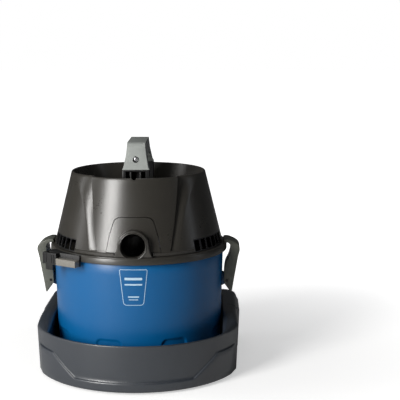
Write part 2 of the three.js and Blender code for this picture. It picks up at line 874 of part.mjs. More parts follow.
// The elbow leads from the hose port down through the flange into the tank.
function inletElbow(radius, frontY, lowZ) {
  const bend = solid(new THREE.SphereGeometry(radius, 20, 10).translate(0, port.elbowY, port.z));
  return join(
    rodY(radius, frontY, port.elbowY, 0, port.z, 32),
    rodZ(radius, lowZ, port.z, 0, port.elbowY, 32),
    bend,
  );
}
function inletDuct() {
  return cut(inletElbow(port.radius, portBackY, port.dropZ), inletElbow(portBore, portBackY - 10, port.dropZ - 5));
}

// A block on the flange: a low plate on the right, a slot for the wand's hook on the left.
function wandBracket() {
  const { lowX, plateX, highX, lowZ, highZ, slotX, slotHalf } = bracket;
  const far = -(flange.radius + bracket.reach);
  const slotY = far + bracket.lipWall;
  const block = box([lowX, far, lowZ], [highX, far + 60, highZ]);
  const abovePlate = box([plateX, far - 5, bracket.plateHighZ], [highX + 5, far + 12, highZ + 5]);
  const besidePlate = box([lowX - 5, far - 5, lowZ - 5], [plateX, far + 1.6, highZ + 5]);
  const slot = box([slotX - slotHalf, slotY, lowZ - 5], [slotX + slotHalf, slotY + bracket.slotDepth, highZ + 5]);
  const tongue = box([slotX - 8, far + 1.6, bracket.tongueZ], [slotX + 8, slotY, lowZ + 1]);
  const clear = ring(0, flange.radius + GAP, lowZ - 10, highZ + 10, FACETS);
  return spun(cut(join(block, tongue), abovePlate, besidePlate, slot, clear), bracket.azimuth);
}

function tankSeal() {
  const { topRadius, wall } = tank;
  return ring(topRadius - wall, topRadius, tankLip + GAP, flange.skirtDepth - GAP, FACETS);
}

function coverParts() {
  return [
    part("motor_base", motorBase(), "charcoal"),
    part("motor_housing", motorHousing(), "charcoal"),
    part("front_cover", frontCover(), "charcoal"),
    part("hose_port", hosePort(), "charcoal"),
    part("inlet_duct", inletDuct(), "black"),
    part("vent_grille_right", ventGrille(), "black"),
    part("vent_grille_left", mirroredX(ventGrille()), "black"),
    part("wand_bracket", wandBracket(), "charcoal"),
    part("tank_seal", tankSeal(), "rubber"),
    ...screwCircle.azimuths.map((a, i) => part(`base_screw_${i + 1}`, baseScrew(a), "steel")),
    part("cord_inlet", cordInlet(), "rubber"),
  ];
}

// Screws hold the flange to posts in the housing from below.
function baseScrew(azimuth) {
  const x = screwCircle.radius * Math.sin(rad(azimuth));
  const y = -screwCircle.radius * Math.cos(rad(azimuth));
  const low = flange.skirtDepth;
  return join(rodZ(4, low - 2.8, low - GAP, x, y, 12), rodZ(2, low - 1, 12, x, y, 12));
}

function cordInlet() {
  const wallY = coneRadius(gland.z);
  const outside = new THREE.CylinderGeometry(gland.radius - 2.5, gland.radius, 9, SMALL_FACETS);
  return cut(
    join(
      rodY(gland.radius - 2, wallY - 8, wallY + 3.5, 0, gland.z),
      solid(outside.translate(0, wallY + 7.6, gland.z)),
    ),
    rodY(gland.bore, 100, 200, 0, gland.z, 16),
  );
}

// ---------- handle ----------

const bridgeLow = cone.recessZ + GAP;
const bridgeTop = bridgeLow + bridge.height;

// Side view of the handle: two leaning legs and a level grip.
function handleBody() {
  const { topZ, footZ, footY, shoulderY, legThick, gripThick } = handle;
  const inner = shoulderY - legThick + 2;
  const outline = shapeOf([
    [-footY, footZ],
    [-footY, footZ + 4],
    [-shoulderY - 5, topZ - 9],
    ...arcPoints(-shoulderY + 6, topZ - 10, 10, 165, 90, 4),
    ...arcPoints(shoulderY - 6, topZ - 10, 10, 90, 15, 4),
    [shoulderY + 5, topZ - 9],
    [footY, footZ + 4],
    [footY, footZ],
    [footY - legThick, footZ],
    ...arcPoints(inner - 8, topZ - gripThick - 8, 8, 0, 90, 4),
    ...arcPoints(-inner + 8, topZ - gripThick - 8, 8, 90, 180, 4),
    [-footY + legThick, footZ],
  ]);
  const made = reshaped(sidePrism(outline, -1, 1), (v) => {
    const t = (v.z - footZ) / (topZ - footZ);
    v.x *= lerp(handle.halfFoot, handle.halfTop, Math.sqrt(THREE.MathUtils.clamp(t * 1.15, 0, 1)));
  });
  const holes = [-1, 1].flatMap((end) => [
    rodY(5.6, end < 0 ? -100 : footY - 12, end < 0 ? 12 - footY : 100, 0, handle.screwZ),
    rodY(2 + GAP, end < 0 ? -70 : 40, end < 0 ? -40 : 70, 0, handle.screwZ, 12),
  ]);
  return cut(made, ...holes);
}

function handleScrew() {
  const y = handle.footY - 12;
  return join(
    rodY(4.7, -y - 3.2, -y - GAP, 0, handle.screwZ),
    rodY(2, -y - 1, -y + 11, 0, handle.screwZ, 12),
  );
}

// The black bridge under the handle: two posts on a base plate, with a window in each post.
function handleBridge() {
  const { halfWidth: w, halfLength: l, postLength, base, windowHalf, windowSill } = bridge;
  const block = box([-w, -l, bridgeLow], [w, l, bridgeTop]);
  const fingerGap = box([-w - 5, postLength - l, bridgeLow + base], [w + 5, l - postLength, bridgeTop + 5]);
  const windows = box([-windowHalf, -l - 5, bridgeLow + windowSill], [windowHalf, -l + 16, bridgeTop - 8]);
  return cut(block, fingerGap, windows, mirroredY(windows));
}

function handleParts() {
  return [
    part("handle_bridge", handleBridge(), "black"),
    part("carry_handle", handleBody(), "handleGrey"),
    part("handle_screw_front", handleScrew(), "steel"),
    part("handle_screw_rear", mirroredY(handleScrew()), "steel"),
  ];
}

// ---------- switch ----------

function switchBezel() {
  const { x, halfX, halfY } = rocker;
  const z = cone.recessZ;
  const rim = box([x - halfX - 5, -halfY - 5, z + GAP], [x + halfX + 5, halfY + 5, z + 2.4]);
  const sleeve = box([x - halfX - 2.6, -halfY - 2.6, z - 14], [x + halfX + 2.6, halfY + 2.6, z + 1]);
  const well = box([x - halfX - 0.5, -halfY - 1, z - 11], [x + halfX + 0.5, halfY + 1, z + 5]);
  return cut(join(rim, sleeve), well);
}

// A rocker that stands tilted at rest: its rear edge is up.
function switchRocker() {
  const { x, halfX, halfY, z, tilt } = rocker;
  const outline = shapeOf([
    [-halfY, 2.6],
    [-halfY, -2],
    [-4, -5.5],
    [4, -5.5],
    [halfY, -2],
    [halfY, 2.6],
    [halfY * 0.5, 1.2],
    [0, 0.8],
    [-halfY * 0.5, 1.2],
  ]);
  const turn = new THREE.Matrix4().makeRotationX(rad(tilt)).setPosition(x, 0, z);
  return placed(sidePrism(outline, -halfX, halfX), turn);
}

// ---------- motor and fan ----------

function fanHousing() {
  const { housingRadius: r, housingTop: top } = fan;
  const low = deckTop + 1.6;
  return turned(
    [
      [r, low],
      [r, top],
      [12, top],
      [12, top - 2.4],
      [r - 2.4, top - 2.4],
      [r - 2.4, low + 2.4],
      [30, low + 2.4],
      [30, low],
    ],
    40,
  );
}

function impeller() {
  const { wheelRadius: r, wheelLow: low, wheelHigh: high, blades } = fan;
  const hub = ring(motor.shaft + RUNNING, 9, low - 1, high, 24);
  const disc = ring(8.5, r, high - 2, high, 32);
  const vanes = [];
  for (let i = 0; i < blades; i++) {
    const vane = box([-0.9, -r + 1, low], [0.9, -8.5, high - 1]);
    vanes.push(spun(vane, (i * 360) / blades));
  }
  return join(hub, disc, ...vanes);
}

function motorShell() {
  const { radius: r, lowZ, highZ } = motor;
  const body = turned(
    [
      [r, lowZ],
      [r, highZ - 6],
      [r - 12, highZ],
      [9.6, highZ],
      [9.6, highZ - 2],
      [r - 14, highZ - 2],
      [r - 2, highZ - 8],
      [r - 2, lowZ + 2],
      [13, lowZ + 2],
      [13, lowZ],
    ],
    32,
  );
  const slots = [0, 60, 120, 180, 240, 300].map((a) =>
    spun(box([-5, -r - 5, highZ - 24], [5, -r + 8, highZ - 12]), a + 30),
  );
  return cut(body, ...slots);
}

function rotorShaft() {
  return ring(0, motor.shaft, fan.wheelLow - 4, motor.highZ + 2, 16);
}

function armature() {
  const bare = ring(motor.shaft + RUNNING, motor.coreRadius, 44, 68, 36);
  const slots = [];
  for (let i = 0; i < 12; i++) {
    slots.push(spun(box([-1.3, -30, 40], [1.3, -motor.coreRadius + 6, 72]), i * 30));
  }
  return cut(bare, ...slots);
}

function stator() {
  const body = ring(motor.statorInner, motor.statorOuter, 43, 69, 36);
  const bays = [0, 90, 180, 270].map((a) => spun(box([-5, -32, 40], [5, -20, 72]), a + 45));
  return cut(body, ...bays);
}

function brushHolder(side) {
  return box([side * 19 - 7, -4, 75], [side * 19 + 7, 4, 83]);
}

function motorParts() {
  return [
    part("motor_gasket", ring(50, fan.housingRadius - 1, deckTop + GAP, deckTop + 1.3, 32), "rubber"),
    part("fan_housing", fanHousing(), "steel"),
    part("impeller", impeller(), "steel"),
    part("motor_shell", motorShell(), "black"),
    part("stator", stator(), "copper"),
    part("rotor_shaft", rotorShaft(), "steel"),
    part("armature", armature(), "copper"),
    part("commutator", ring(motor.shaft + RUNNING, 10.5, 73, 85, 24), "copper"),
    part("brush_left", brushHolder(-1), "black"),
    part("brush_right", brushHolder(1), "black"),
    part("bearing_top", ring(motor.shaft + RUNNING, 9.2, motor.highZ - 5, motor.highZ + 0.5, 24), "steel"),
    part("bearing_bottom", ring(motor.shaft + RUNNING, 11.6, motor.lowZ - 2.8, motor.lowZ + 2.5, 24), "steel"),
  ];
}

// ---------- float and filter under the flange ----------

function floatCage() {
  const { cageInner: a, cageOuter: b, cageRim, floorZ, bars } = float;
  const top = flange.skirtDepth - GAP;
  const rings = join(
    ring(a, cageRim, top - 4, top, 32),
    ring(a, b, top - 10, top - 3.5, 32),
    ring(0, b, floorZ - 3, floorZ, 32),
  );
  const posts = [];
  for (let i = 0; i < bars; i++) {
    posts.push(spun(box([-2.4, -b + 0.4, floorZ - 1], [2.4, -a - 0.3, top - 5]), (i * 360) / bars));
  }
  return join(rings, ...posts);
}

function filterCartridge() {
  const { inner, valley, outer, pleats, topZ, bottomZ } = filter;
  const points = [];
  for (let i = 0; i < pleats; i++) {
    for (const [share, r] of [[0.1, outer], [0.4, outer], [0.6, valley], [0.9, valley]]) {
      const a = ((i + share) / pleats) * 2 * Math.PI;
      points.push([r * Math.cos(a), r * Math.sin(a)]);
    }
  }
  const sleeve = planPrism(shapeOf(points), bottomZ, topZ);
  return cut(sleeve, ring(0, inner + GAP, bottomZ - 5, topZ + 5));
}

function filterCap() {
  const { outer, bottomZ, capThick } = filter;
  const disc = ring(5, outer + 1, bottomZ - capThick, bottomZ - GAP);
  return join(disc, ring(filter.inner - 6, filter.inner, bottomZ - 2, bottomZ + 8));
}

const studLow = filter.bottomZ - filter.capThick - 12;
function filterKnob() {
  const top = filter.bottomZ - filter.capThick - GAP;
  const core = ring(4 + RUNNING, 11, top - 11, top, 24);
  const wings = box([-20, -2.5, top - 11], [20, 2.5, top - 1]);
  return cut(join(core, wings), ring(0, 4 + RUNNING, top - 20, top + 5, 24));
}

function filterParts() {
  return [
    part("float_cage", floatCage(), "white"),
    part("float_ball", solid(new THREE.SphereGeometry(float.ballRadius, 18, 10).translate(0, 0, float.ballZ)), "white"),
    part("filter_cartridge", filterCartridge(), "paper"),
    part("filter_cap", filterCap(), "black"),
    part("filter_stud", rodZ(4, studLow, float.floorZ - 3 - GAP, 0, 0, 16), "steel"),
    part("filter_knob", filterKnob(), "black"),
  ];
}

// ---------- assembly ----------

const head = new THREE.Group();
head.position.z = deckZ;
head.add(
  ...coverParts(),
  ...handleParts(),
  part("switch_bezel", switchBezel(), "black"),
  part("switch_rocker", switchRocker(), "black"),
  ...motorParts(),
  ...filterParts(),
  ...latchParts(),
);

const tankGroup = new THREE.Group();
tankGroup.position.z = tankBase;
tankGroup.add(...tankParts());

const vacuum = new THREE.Group();
vacuum.position.y = -footprintCentreY;
vacuum.add(...trayParts(), tankGroup, head);

export default vacuum;
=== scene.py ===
"""Shop vacuum: finished shells, covers, levers, tray and filter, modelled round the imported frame."""
import math

import bmesh
import bpy
from mathutils import Matrix, Vector


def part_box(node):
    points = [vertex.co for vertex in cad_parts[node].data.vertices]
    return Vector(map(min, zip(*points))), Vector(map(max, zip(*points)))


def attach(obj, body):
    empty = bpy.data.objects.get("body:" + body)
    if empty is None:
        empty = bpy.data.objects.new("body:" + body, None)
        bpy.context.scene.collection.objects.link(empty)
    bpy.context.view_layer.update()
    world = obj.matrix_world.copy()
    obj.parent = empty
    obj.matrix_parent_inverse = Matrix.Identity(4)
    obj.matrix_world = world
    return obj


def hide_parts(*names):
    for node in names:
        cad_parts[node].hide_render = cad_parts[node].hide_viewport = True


bl_info = {
    "name": "Shop Vacuum",
    "version": (1, 0, 0),
    "blender": (4, 5, 0),
    "location": "View3D > Sidebar > Vacuum",
    "description": "Builds the pieces and finishes of a shop vacuum with a lift-off tank and a base tray",
    "category": "Object",
}

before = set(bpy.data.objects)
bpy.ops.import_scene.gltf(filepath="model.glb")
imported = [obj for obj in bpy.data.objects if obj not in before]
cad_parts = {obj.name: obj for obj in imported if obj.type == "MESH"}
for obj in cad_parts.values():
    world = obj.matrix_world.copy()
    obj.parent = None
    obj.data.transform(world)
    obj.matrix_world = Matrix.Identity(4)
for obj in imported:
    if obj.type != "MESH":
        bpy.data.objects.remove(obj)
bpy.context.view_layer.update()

# ---------- places taken from the frame; lengths below are in millimetres round the tank's axis ----------

MM = 0.001


def local_box(node, origin):
    """The low and high corner of a node in millimetres round an origin."""
    return [(corner - origin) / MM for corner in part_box(node)]


base_low, base_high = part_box("motor_base")
FLANGE_RADIUS = (base_high.x - base_low.x) / 2 / MM
FLANGE_HEIGHT = 12.5
AXIS_X = (base_low.x + base_high.x) / 2
AXIS_Y = (base_low.y + base_high.y) / 2
DECK = Vector((AXIS_X, AXIS_Y, base_high.z - FLANGE_HEIGHT * MM))  # underside of the flange
TANK = Vector((AXIS_X, AXIS_Y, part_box("tank")[0].z))
FLOOR = Vector((AXIS_X, AXIS_Y, 0.0))
housing_low, housing_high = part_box("motor_housing")
RIM_Z = (housing_high.z - DECK.z) / MM
BAND_RADIUS = (housing_high.x - housing_low.x) / 2 / MM
TANK_HEIGHT = (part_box("tank")[1].z - TANK.z) / MM
HANDLE_LOW, HANDLE_HIGH = local_box("carry_handle", DECK)
BRIDGE_LOW, BRIDGE_HIGH = local_box("handle_bridge", DECK)
PORT_LOW, PORT_HIGH = local_box("hose_port", DECK)
LATCH_LOW, LATCH_HIGH = local_box("latch_lever_right", DECK)
PIN_LOW, PIN_HIGH = local_box("latch_pin_right", DECK)
TRAY_TOP = local_box("tray_shell", FLOOR)[1].z
CLIP_LOW, CLIP_HIGH = local_box("tray_clip", FLOOR)
FILTER_LOW, FILTER_HIGH = local_box("filter_cartridge", DECK)
CAP_LOW, CAP_HIGH = local_box("filter_cap", DECK)

CONE_BASE_Z = 21.0  # heights on the head count from the flange's underside
RECESS_Z = 103.0  # floor of the open recess
PORT_Z = 32.3
CORD_Z = 60.0
SHELL_WALL = 3.5
HOOD_HALF = 33.0
SCREW_RISE = 17.0  # from the handle's feet to its screws
FILTER_BORE = 63.2
TANK_FOOT_RADIUS = 148.0
TANK_RIM_RADIUS = 153.4
TANK_EDGE = 18.0
TRAY_SIDE = 181.0
TRAY_BACK = 165.0
TRAY_CORNER = 24.0
TRAY_LIP_Z = 86.0
TRAY_DRAFT = 0.02
TRAY_GROUND = 4.0
TRAY_FLOOR_Z = 8.0
FLOOR_ROUND = 10.0
OPEN_SIDE = 153.0
OPEN_FRONT = 186.0
OPEN_BACK = 159.0
OPEN_CORNER = 42.0
FRONT_WALL = 4.0


# ---------- settings ----------

def length(name, description, millimetres):
    return bpy.props.FloatProperty(
        name=name,
        description=description,
        default=millimetres * MM,
        unit="LENGTH",
        subtype="DISTANCE",
        precision=5,
    )


def colour(name, description, red, green, blue):
    return bpy.props.FloatVectorProperty(
        name=name,
        description=description,
        default=(red / 255, green / 255, blue / 255),
        subtype="COLOR_GAMMA",
        size=3,
        min=0.0,
        max=1.0,
    )


class VacuumSizes(bpy.types.PropertyGroup):
    rim_radius: length("Rim radius", "Outer radius of the housing's rim", 120.4)
    cone_radius: length("Cone radius", "Outer radius of the housing at its foot", 150.5)
    flute_depth: length("Flute depth", "Depth of the scooped flutes at the rim", 11.0)
    panel_depth: length("Panel depth", "Depth of the panels pressed into the tank", 2.6)
    seam_gap: length("Seam gap", "Gap round the front cover", 0.9)
    tray_lip: length("Tray lip", "Height of the tray's front lip", TRAY_LIP_Z)
    tray_dip: length("Tray dip", "Height of the middle of the tray's back wall", 76.0)
    label_line: length("Label line", "Width of the printed line round the label", 0.9)
    pleats: bpy.props.IntProperty(
        name="Pleats", description="Folds round the filter", default=60, min=12, max=120
    )


class VacuumColours(bpy.types.PropertyGroup):
    head: colour("Head", "Charcoal housing, covers and flange", 49, 47, 43)
    # painted highlight: the plate is one moulding colour with the bracket's body, made pale where its face
    # meets the light
    bracket: colour("Bracket plate", "Satin plate of the wand bracket", 118, 115, 109)
    tank: colour("Tank", "Blue tank", 0, 86, 141)
    tray: colour("Tray", "Slate tray", 41, 46, 53)
    handle: colour("Handle", "Grey carrying handle", 142, 146, 143)
    latch: colour("Latch", "Grey latch levers", 80, 82, 75)
    black: colour("Black plastic", "Black mouldings", 17, 17, 18)
    rubber: colour("Rubber", "Seals and feet", 26, 26, 26)
    print_white: colour("Label print", "Printed outline and bars", 176, 202, 220)
    paper: colour("Paper", "Pleated filter paper", 232, 227, 212)
    white: colour("White plastic", "Float and its cage", 0.85 * 255, 0.86 * 255, 0.85 * 255)


class VacuumStage(bpy.types.PropertyGroup):
    eye: bpy.props.FloatVectorProperty(
        name="Eye",
        description="Where the camera stands",
        default=(0.135, -1.933, 0.613),
        subtype="TRANSLATION",
    )
    pitch: bpy.props.FloatProperty(
        name="Pitch",
        description="How far the camera looks down",
        default=math.radians(9.0),
        subtype="ANGLE",
    )
    yaw: bpy.props.FloatProperty(
        name="Yaw",
        description="How far the camera turns to the left",
        default=math.radians(0.7),
        subtype="ANGLE",
    )
    lens: bpy.props.FloatProperty(
        name="Lens", description="Focal length on a 36 mm sensor", default=97.2, unit="CAMERA"
    )
    floor: colour("Floor", "Pale studio floor", 225, 225, 225)


# ---------- mesh helpers ----------

def smooth_step(low, high, value):
    share = min(max((value - low) / (high - low), 0.0), 1.0)
    return share * share * (3 - 2 * share)


def mix(low, high, share):
    return low + (high - low) * share


def arc(centre_u, centre_v, radius, start, end, steps):
    """Points round an arc, in degrees from the first axis towards the second."""
    points = []
    for step in range(steps + 1):
        angle = math.radians(mix(start, end, step / steps))
        points.append((centre_u + radius * math.cos(angle), centre_v + radius * math.sin(angle)))
    return points


def softened(outline, radius, steps=4):
    """Rounds every corner of an outline as far as its neighbours allow."""
    points = []
    for number, corner in enumerate(outline):
        corner = Vector(corner)
        before = Vector(outline[number - 1]) - corner
        after = Vector(outline[(number + 1) % len(outline)]) - corner
        reach = min(radius, 0.45 * before.length, 0.45 * after.length)
        start, end = corner + before.normalized() * reach, corner + after.normalized() * reach
        for step in range(steps + 1):
            share = step / steps
            points.append(tuple(start * (1 - share) ** 2 + corner * 2 * share * (1 - share) + end * share**2))
    return points


def lofted(rows, columns, place):
    """A ring of points extruded through the rows; place(row, azimuth) gives each point.

    Azimuths are in degrees from the front towards the right. Rows that shrink to a point close the shape.
    """
    shape = bmesh.new()
    column = shape.verts.layers.int.new("column")
    ring = bmesh.ops.create_circle(shape, segments=columns, radius=1.0)["verts"]
    for number, vert in enumerate(ring):
        vert[column] = number
    edges = list(shape.edges)
    for number, row in enumerate(rows):
        if number:
            grown = bmesh.ops.extrude_edge_only(shape, edges=edges)["geom"]
            ring = [item for item in grown if isinstance(item, bmesh.types.BMVert)]
            edges = [item for item in grown if isinstance(item, bmesh.types.BMEdge) and is_ring(item, column)]
        for vert in ring:
            azimuth = 360.0 * vert[column] / columns
            vert.co = place(row, azimuth - 360.0 if azimuth > 180.0 else azimuth)
    bmesh.ops.remove_doubles(shape, verts=shape.verts, dist=1e-4)
    bmesh.ops.recalc_face_normals(shape, faces=shape.faces)
    return shape


def is_ring(edge, column):
    first, second = edge.verts
    return first[column] != second[column]


def polar(radius, azimuth, z):
    angle = math.radians(azimuth)
    return Vector((radius * math.sin(angle), -radius * math.cos(angle), z))


def turned(profile, columns=96):
    """A closed profile of (radius, z) points turned about the upright axis."""
    return lofted([*profile, profile[0]], columns, lambda row, azimuth: polar(row[0], azimuth, row[1]))


def turned_solid(profile, columns=96):
    """A profile that starts and ends on the axis."""
    return lofted(profile, columns, lambda row, azimuth: polar(row[0], azimuth, row[1]))


def prism(outline, low, high, facing="TOP"):
    """An outline extruded along Z (plan), along Y (seen from the front) or along X (seen from the right)."""
    shape = bmesh.new()
    verts = [shape.verts.new((u, v, 0.0)) for u, v in outline]
    face = shape.faces.new(verts)
    grown = bmesh.ops.extrude_face_region(shape, geom=[face])["geom"]
    top = [item for item in grown if isinstance(item, bmesh.types.BMVert)]
    bmesh.ops.translate(shape, verts=top, vec=(0.0, 0.0, high - low))
    bmesh.ops.translate(shape, verts=shape.verts, vec=(0.0, 0.0, low))
    columns = {
        "TOP": ((1, 0, 0), (0, 1, 0), (0, 0, 1)),
        "FRONT": ((1, 0, 0), (0, 0, 1), (0, 1, 0)),
        "SIDE": ((0, 1, 0), (0, 0, 1), (1, 0, 0)),
    }[facing]
    bmesh.ops.transform(shape, matrix=Matrix(columns).transposed().to_4x4(), verts=shape.verts)
    bmesh.ops.recalc_face_normals(shape, faces=shape.faces)
    return shape


def block(low, high):
    shape = bmesh.new()
    bmesh.ops.create_cube(shape, size=1.0)
    low, high = Vector(low), Vector(high)
    bmesh.ops.scale(shape, vec=high - low, verts=shape.verts)
    bmesh.ops.translate(shape, vec=(low + high) / 2, verts=shape.verts)
    return shape


def rod(radius, start, end, columns=32):
    """A cylinder between two points."""
    start, end = Vector(start), Vector(end)
    shape = bmesh.new()
    bmesh.ops.create_cone(
        shape, cap_ends=True, segments=columns, radius1=radius, radius2=radius, depth=(end - start).length
    )
    turn = (end - start).to_track_quat("Z", "Y").to_matrix().to_4x4()
    bmesh.ops.transform(shape, matrix=Matrix.Translation((start + end) / 2) @ turn, verts=shape.verts)
    return shape


def moved(shape, matrix):
    bmesh.ops.transform(shape, matrix=matrix, verts=shape.verts)
    if matrix.determinant() < 0:
        bmesh.ops.reverse_faces(shape, faces=shape.faces)
    return shape


def about_axis(shape, azimuth):
    return moved(shape, Matrix.Rotation(math.radians(azimuth), 4, "Z"))


def other_side(shape):
    return moved(shape.copy(), Matrix.Scale(-1, 4, (1, 0, 0)))


def other_end(shape):
    return moved(shape.copy(), Matrix.Scale(-1, 4, (0, 1, 0)))


def gathered(*shapes):
    """Several closed shapes as one, for pieces made of parts that don't touch."""
    whole = bmesh.new()
    for shape in shapes:
        loose = bpy.data.meshes.new("loose")
        shape.to_mesh(loose)
        whole.from_mesh(loose)
        bpy.data.meshes.remove(loose)
        shape.free()
    return whole


def combined(shape, tool, operation):
    """Joins, cuts or intersects two closed shapes."""
    pair = []
    for number, part in enumerate((shape, tool)):
        mesh = bpy.data.meshes.new(f"workpiece{number}")
        bmesh.ops.triangulate(part, faces=[face for face in part.faces if len(face.verts) > 4])
        part.to_mesh(mesh)
        part.free()
        body = bpy.data.objects.new(f"workpiece{number}", mesh)
        bpy.context.scene.collection.objects.link(body)
        pair.append(body)
    boolean = pair[0].modifiers.new("boolean", "BOOLEAN")
    boolean.operation = operation
    boolean.solver = "EXACT"
    boolean.object = pair[1]
    result = bmesh.new()
    result.from_object(pair[0], bpy.context.evaluated_depsgraph_get())
    for body in pair:
        mesh = body.data
        bpy.data.objects.remove(body)
        bpy.data.meshes.remove(mesh)
    if not result.faces:
        raise RuntimeError("a cut left nothing of the shape")
    return result


def cut(shape, *tools):
    return combined(shape, gathered(*tools), "DIFFERENCE")


def joined(shape, *tools):
    for tool in tools:
        shape = combined(shape, tool, "UNION")
    return shape


def shared(shape, tool):
    return combined(shape, tool, "INTERSECT")


def longer_than(axis, reach):
    """Picks the edges that run further than a reach along an axis."""
    return lambda edge: abs(edge.verts[0].co[axis] - edge.verts[1].co[axis]) > reach


def lying(shape, y, z):
    """Turns an upright shape so that its top faces the back, and sets it at a place over the axis."""
    turn = Matrix.Rotation(math.radians(-90), 4, "X")
    return moved(shape, Matrix.Translation((0, y, z)) @ turn)


def rounded(shape, width, steeper=25.0, segments=3, only=None):
    """Bevels the edges that turn by more than an angle in degrees."""
    limit = math.radians(steeper)
    edges = [
        edge
        for edge in shape.edges
        if edge.is_manifold and edge.calc_face_angle(0.0) > limit and (only is None or only(edge))
    ]
    bmesh.ops.bevel(
        shape,
        geom=edges,
        offset=width,
        offset_type="OFFSET",
        affect="EDGES",
        segments=segments,
        profile=0.5,
        clamp_overlap=True,
        material=-1,
    )
    return shape


def add_piece(name, shape, origin, look, body, node, crease, slot=None):
    """Turns a shape in millimetres round an origin into a finished piece in the frame.

    The piece replaces a node, or none where it is a detail beside one. Edges past the crease stay sharp.
    """
    bmesh.ops.transform(shape, matrix=Matrix.Translation(origin) @ Matrix.Scale(MM, 4), verts=shape.verts)
    for face in shape.faces:
        face.smooth = True
    mesh = bpy.data.meshes.new(name)
    shape.to_mesh(mesh)
    shape.free()
    mesh.set_sharp_from_angle(angle=math.radians(crease))
    for layer in [item for item in mesh.attributes if item.name == "column"]:
        mesh.attributes.remove(layer)
    piece = bpy.data.objects.new(name, mesh)
    bpy.context.scene.collection.objects.link(piece)
    mesh.materials.append(finish(look))
    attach(piece, body)
    if node:
        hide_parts(node)
    slot or look


def add_pieces(origin, body, rows):
    for name, shape, look, node, crease in rows:
        add_piece(name, shape, origin, look, body, node, crease)


# ---------- shared surface effects ----------

def effect_group(name, inputs, outputs):
    """An empty shader node group with float inputs and float outputs."""
    group = bpy.data.node_groups.new(name, "ShaderNodeTree")
    for label, value in inputs:
        socket = group.interface.new_socket(name=label, in_out="INPUT", socket_type="NodeSocketFloat")
        socket.default_value = value
    for label in outputs:
        group.interface.new_socket(name=label, in_out="OUTPUT", socket_type="NodeSocketFloat")
    return group, group.nodes.new("NodeGroupInput"), group.nodes.new("NodeGroupOutput")


def object_place(tree):
    return tree.nodes.new("ShaderNodeTexCoord").outputs["Object"]


def noise(tree, coordinates, scale, detail=2.0, roughness=0.5):
    node = tree.nodes.new("ShaderNodeTexNoise")
    node.inputs["Detail"].default_value = detail
    node.inputs["Roughness"].default_value = roughness
    tree.links.new(coordinates, node.inputs["Vector"])
    if isinstance(scale, (int, float)):
        node.inputs["Scale"].default_value = scale
    else:
        tree.links.new(scale, node.inputs["Scale"])
    return node.outputs["Fac"]


def number_node(tree, operation, first, second, clamp=False):
    node = tree.nodes.new("ShaderNodeMath")
    node.operation = operation
    node.use_clamp = clamp
    for socket, value in zip(node.inputs, (first, second)):
        if isinstance(value, (int, float)):
            socket.default_value = value
        else:
            tree.links.new(value, socket)
    return node.outputs[0]


def ramp(tree, value, low, high):
    node = tree.nodes.new("ShaderNodeMapRange")
    node.interpolation_type = "SMOOTHSTEP"
    node.inputs["From Min"].default_value = low
    node.inputs["From Max"].default_value = high
    tree.links.new(value, node.inputs["Value"])
    return node.outputs["Result"]


def grain_effect():
    """The fine leathery grain of a moulded surface, and the slow drift in its tone."""
    tree, given, result = effect_group("moulded_grain", [("Scale", 900.0)], ["Height", "Tone"])
    place = object_place(tree)
    cells = tree.nodes.new("ShaderNodeTexVoronoi")
    tree.links.new(place, cells.inputs["Vector"])
    tree.links.new(given.outputs["Scale"], cells.inputs["Scale"])
    fine = noise(tree, place, given.outputs["Scale"], 3.0, 0.6)
    height = number_node(tree, "ADD", cells.outputs["Distance"], fine)
    tree.links.new(height, result.inputs["Height"])
    slow = noise(tree, place, 14.0, 4.0, 0.55)
    speckle = noise(tree, place, 260.0, 2.0, 0.6)
    shares = number_node(tree, "MULTIPLY", slow, 0.65), number_node(tree, "MULTIPLY", speckle, 0.35)
    tone = number_node(tree, "ADD", *shares)
    tree.links.new(tone, result.inputs["Tone"])
    return tree


def wear_effect():
    """A mask of rubbed edges, broken up by noise."""
    tree, given, result = effect_group("edge_wear", [("Amount", 1.0)], ["Mask"])
    edges = ramp(tree, tree.nodes.new("ShaderNodeNewGeometry").outputs["Pointiness"], 0.505, 0.56)
    broken = ramp(tree, noise(tree, object_place(tree), 70.0, 4.0, 0.65), 0.35, 0.65)
    rubbed = number_node(tree, "MULTIPLY", edges, broken)
    mask = number_node(tree, "MULTIPLY", rubbed, given.outputs["Amount"], True)
    tree.links.new(mask, result.inputs["Mask"])
    return tree


def dust_effect():
    """A mask of dust that settles on upward faces."""
    tree, given, result = effect_group("settled_dust", [("Amount", 1.0)], ["Mask"])
    split = tree.nodes.new("ShaderNodeSeparateXYZ")
    tree.links.new(tree.nodes.new("ShaderNodeNewGeometry").outputs["Normal"], split.inputs["Vector"])
    upward = ramp(tree, split.outputs["Z"], 0.55, 1.0)
    cloud = ramp(tree, noise(tree, object_place(tree), 24.0, 5.0, 0.7), 0.4, 0.75)
    settled = number_node(tree, "MULTIPLY", upward, cloud)
    mask = number_node(tree, "MULTIPLY", settled, given.outputs["Amount"], True)
    tree.links.new(mask, result.inputs["Mask"])
    return tree


EFFECT_MAKERS = {"moulded_grain": grain_effect, "edge_wear": wear_effect, "settled_dust": dust_effect}
EFFECTS = {}


def effect(tree, name, **values):
    """Places a shared effect in a material with its own values."""
    if name not in EFFECTS:
        EFFECTS[name] = EFFECT_MAKERS[name]()
    node = tree.nodes.new("ShaderNodeGroup")
    node.node_tree = EFFECTS[name]
    for label, value in values.items():
        node.inputs[label].default_value = value
    return node.outputs


def linear(shade):
    """A display colour as the linear colour that shaders take."""
    return tuple(part / 12.92 if part <= 0.04045 else ((part + 0.055) / 1.055) ** 2.4 for part in shade)


def tinted(shade, factor):
    return tuple(min(part * factor, 1.0) for part in linear(shade)) + (1.0,)


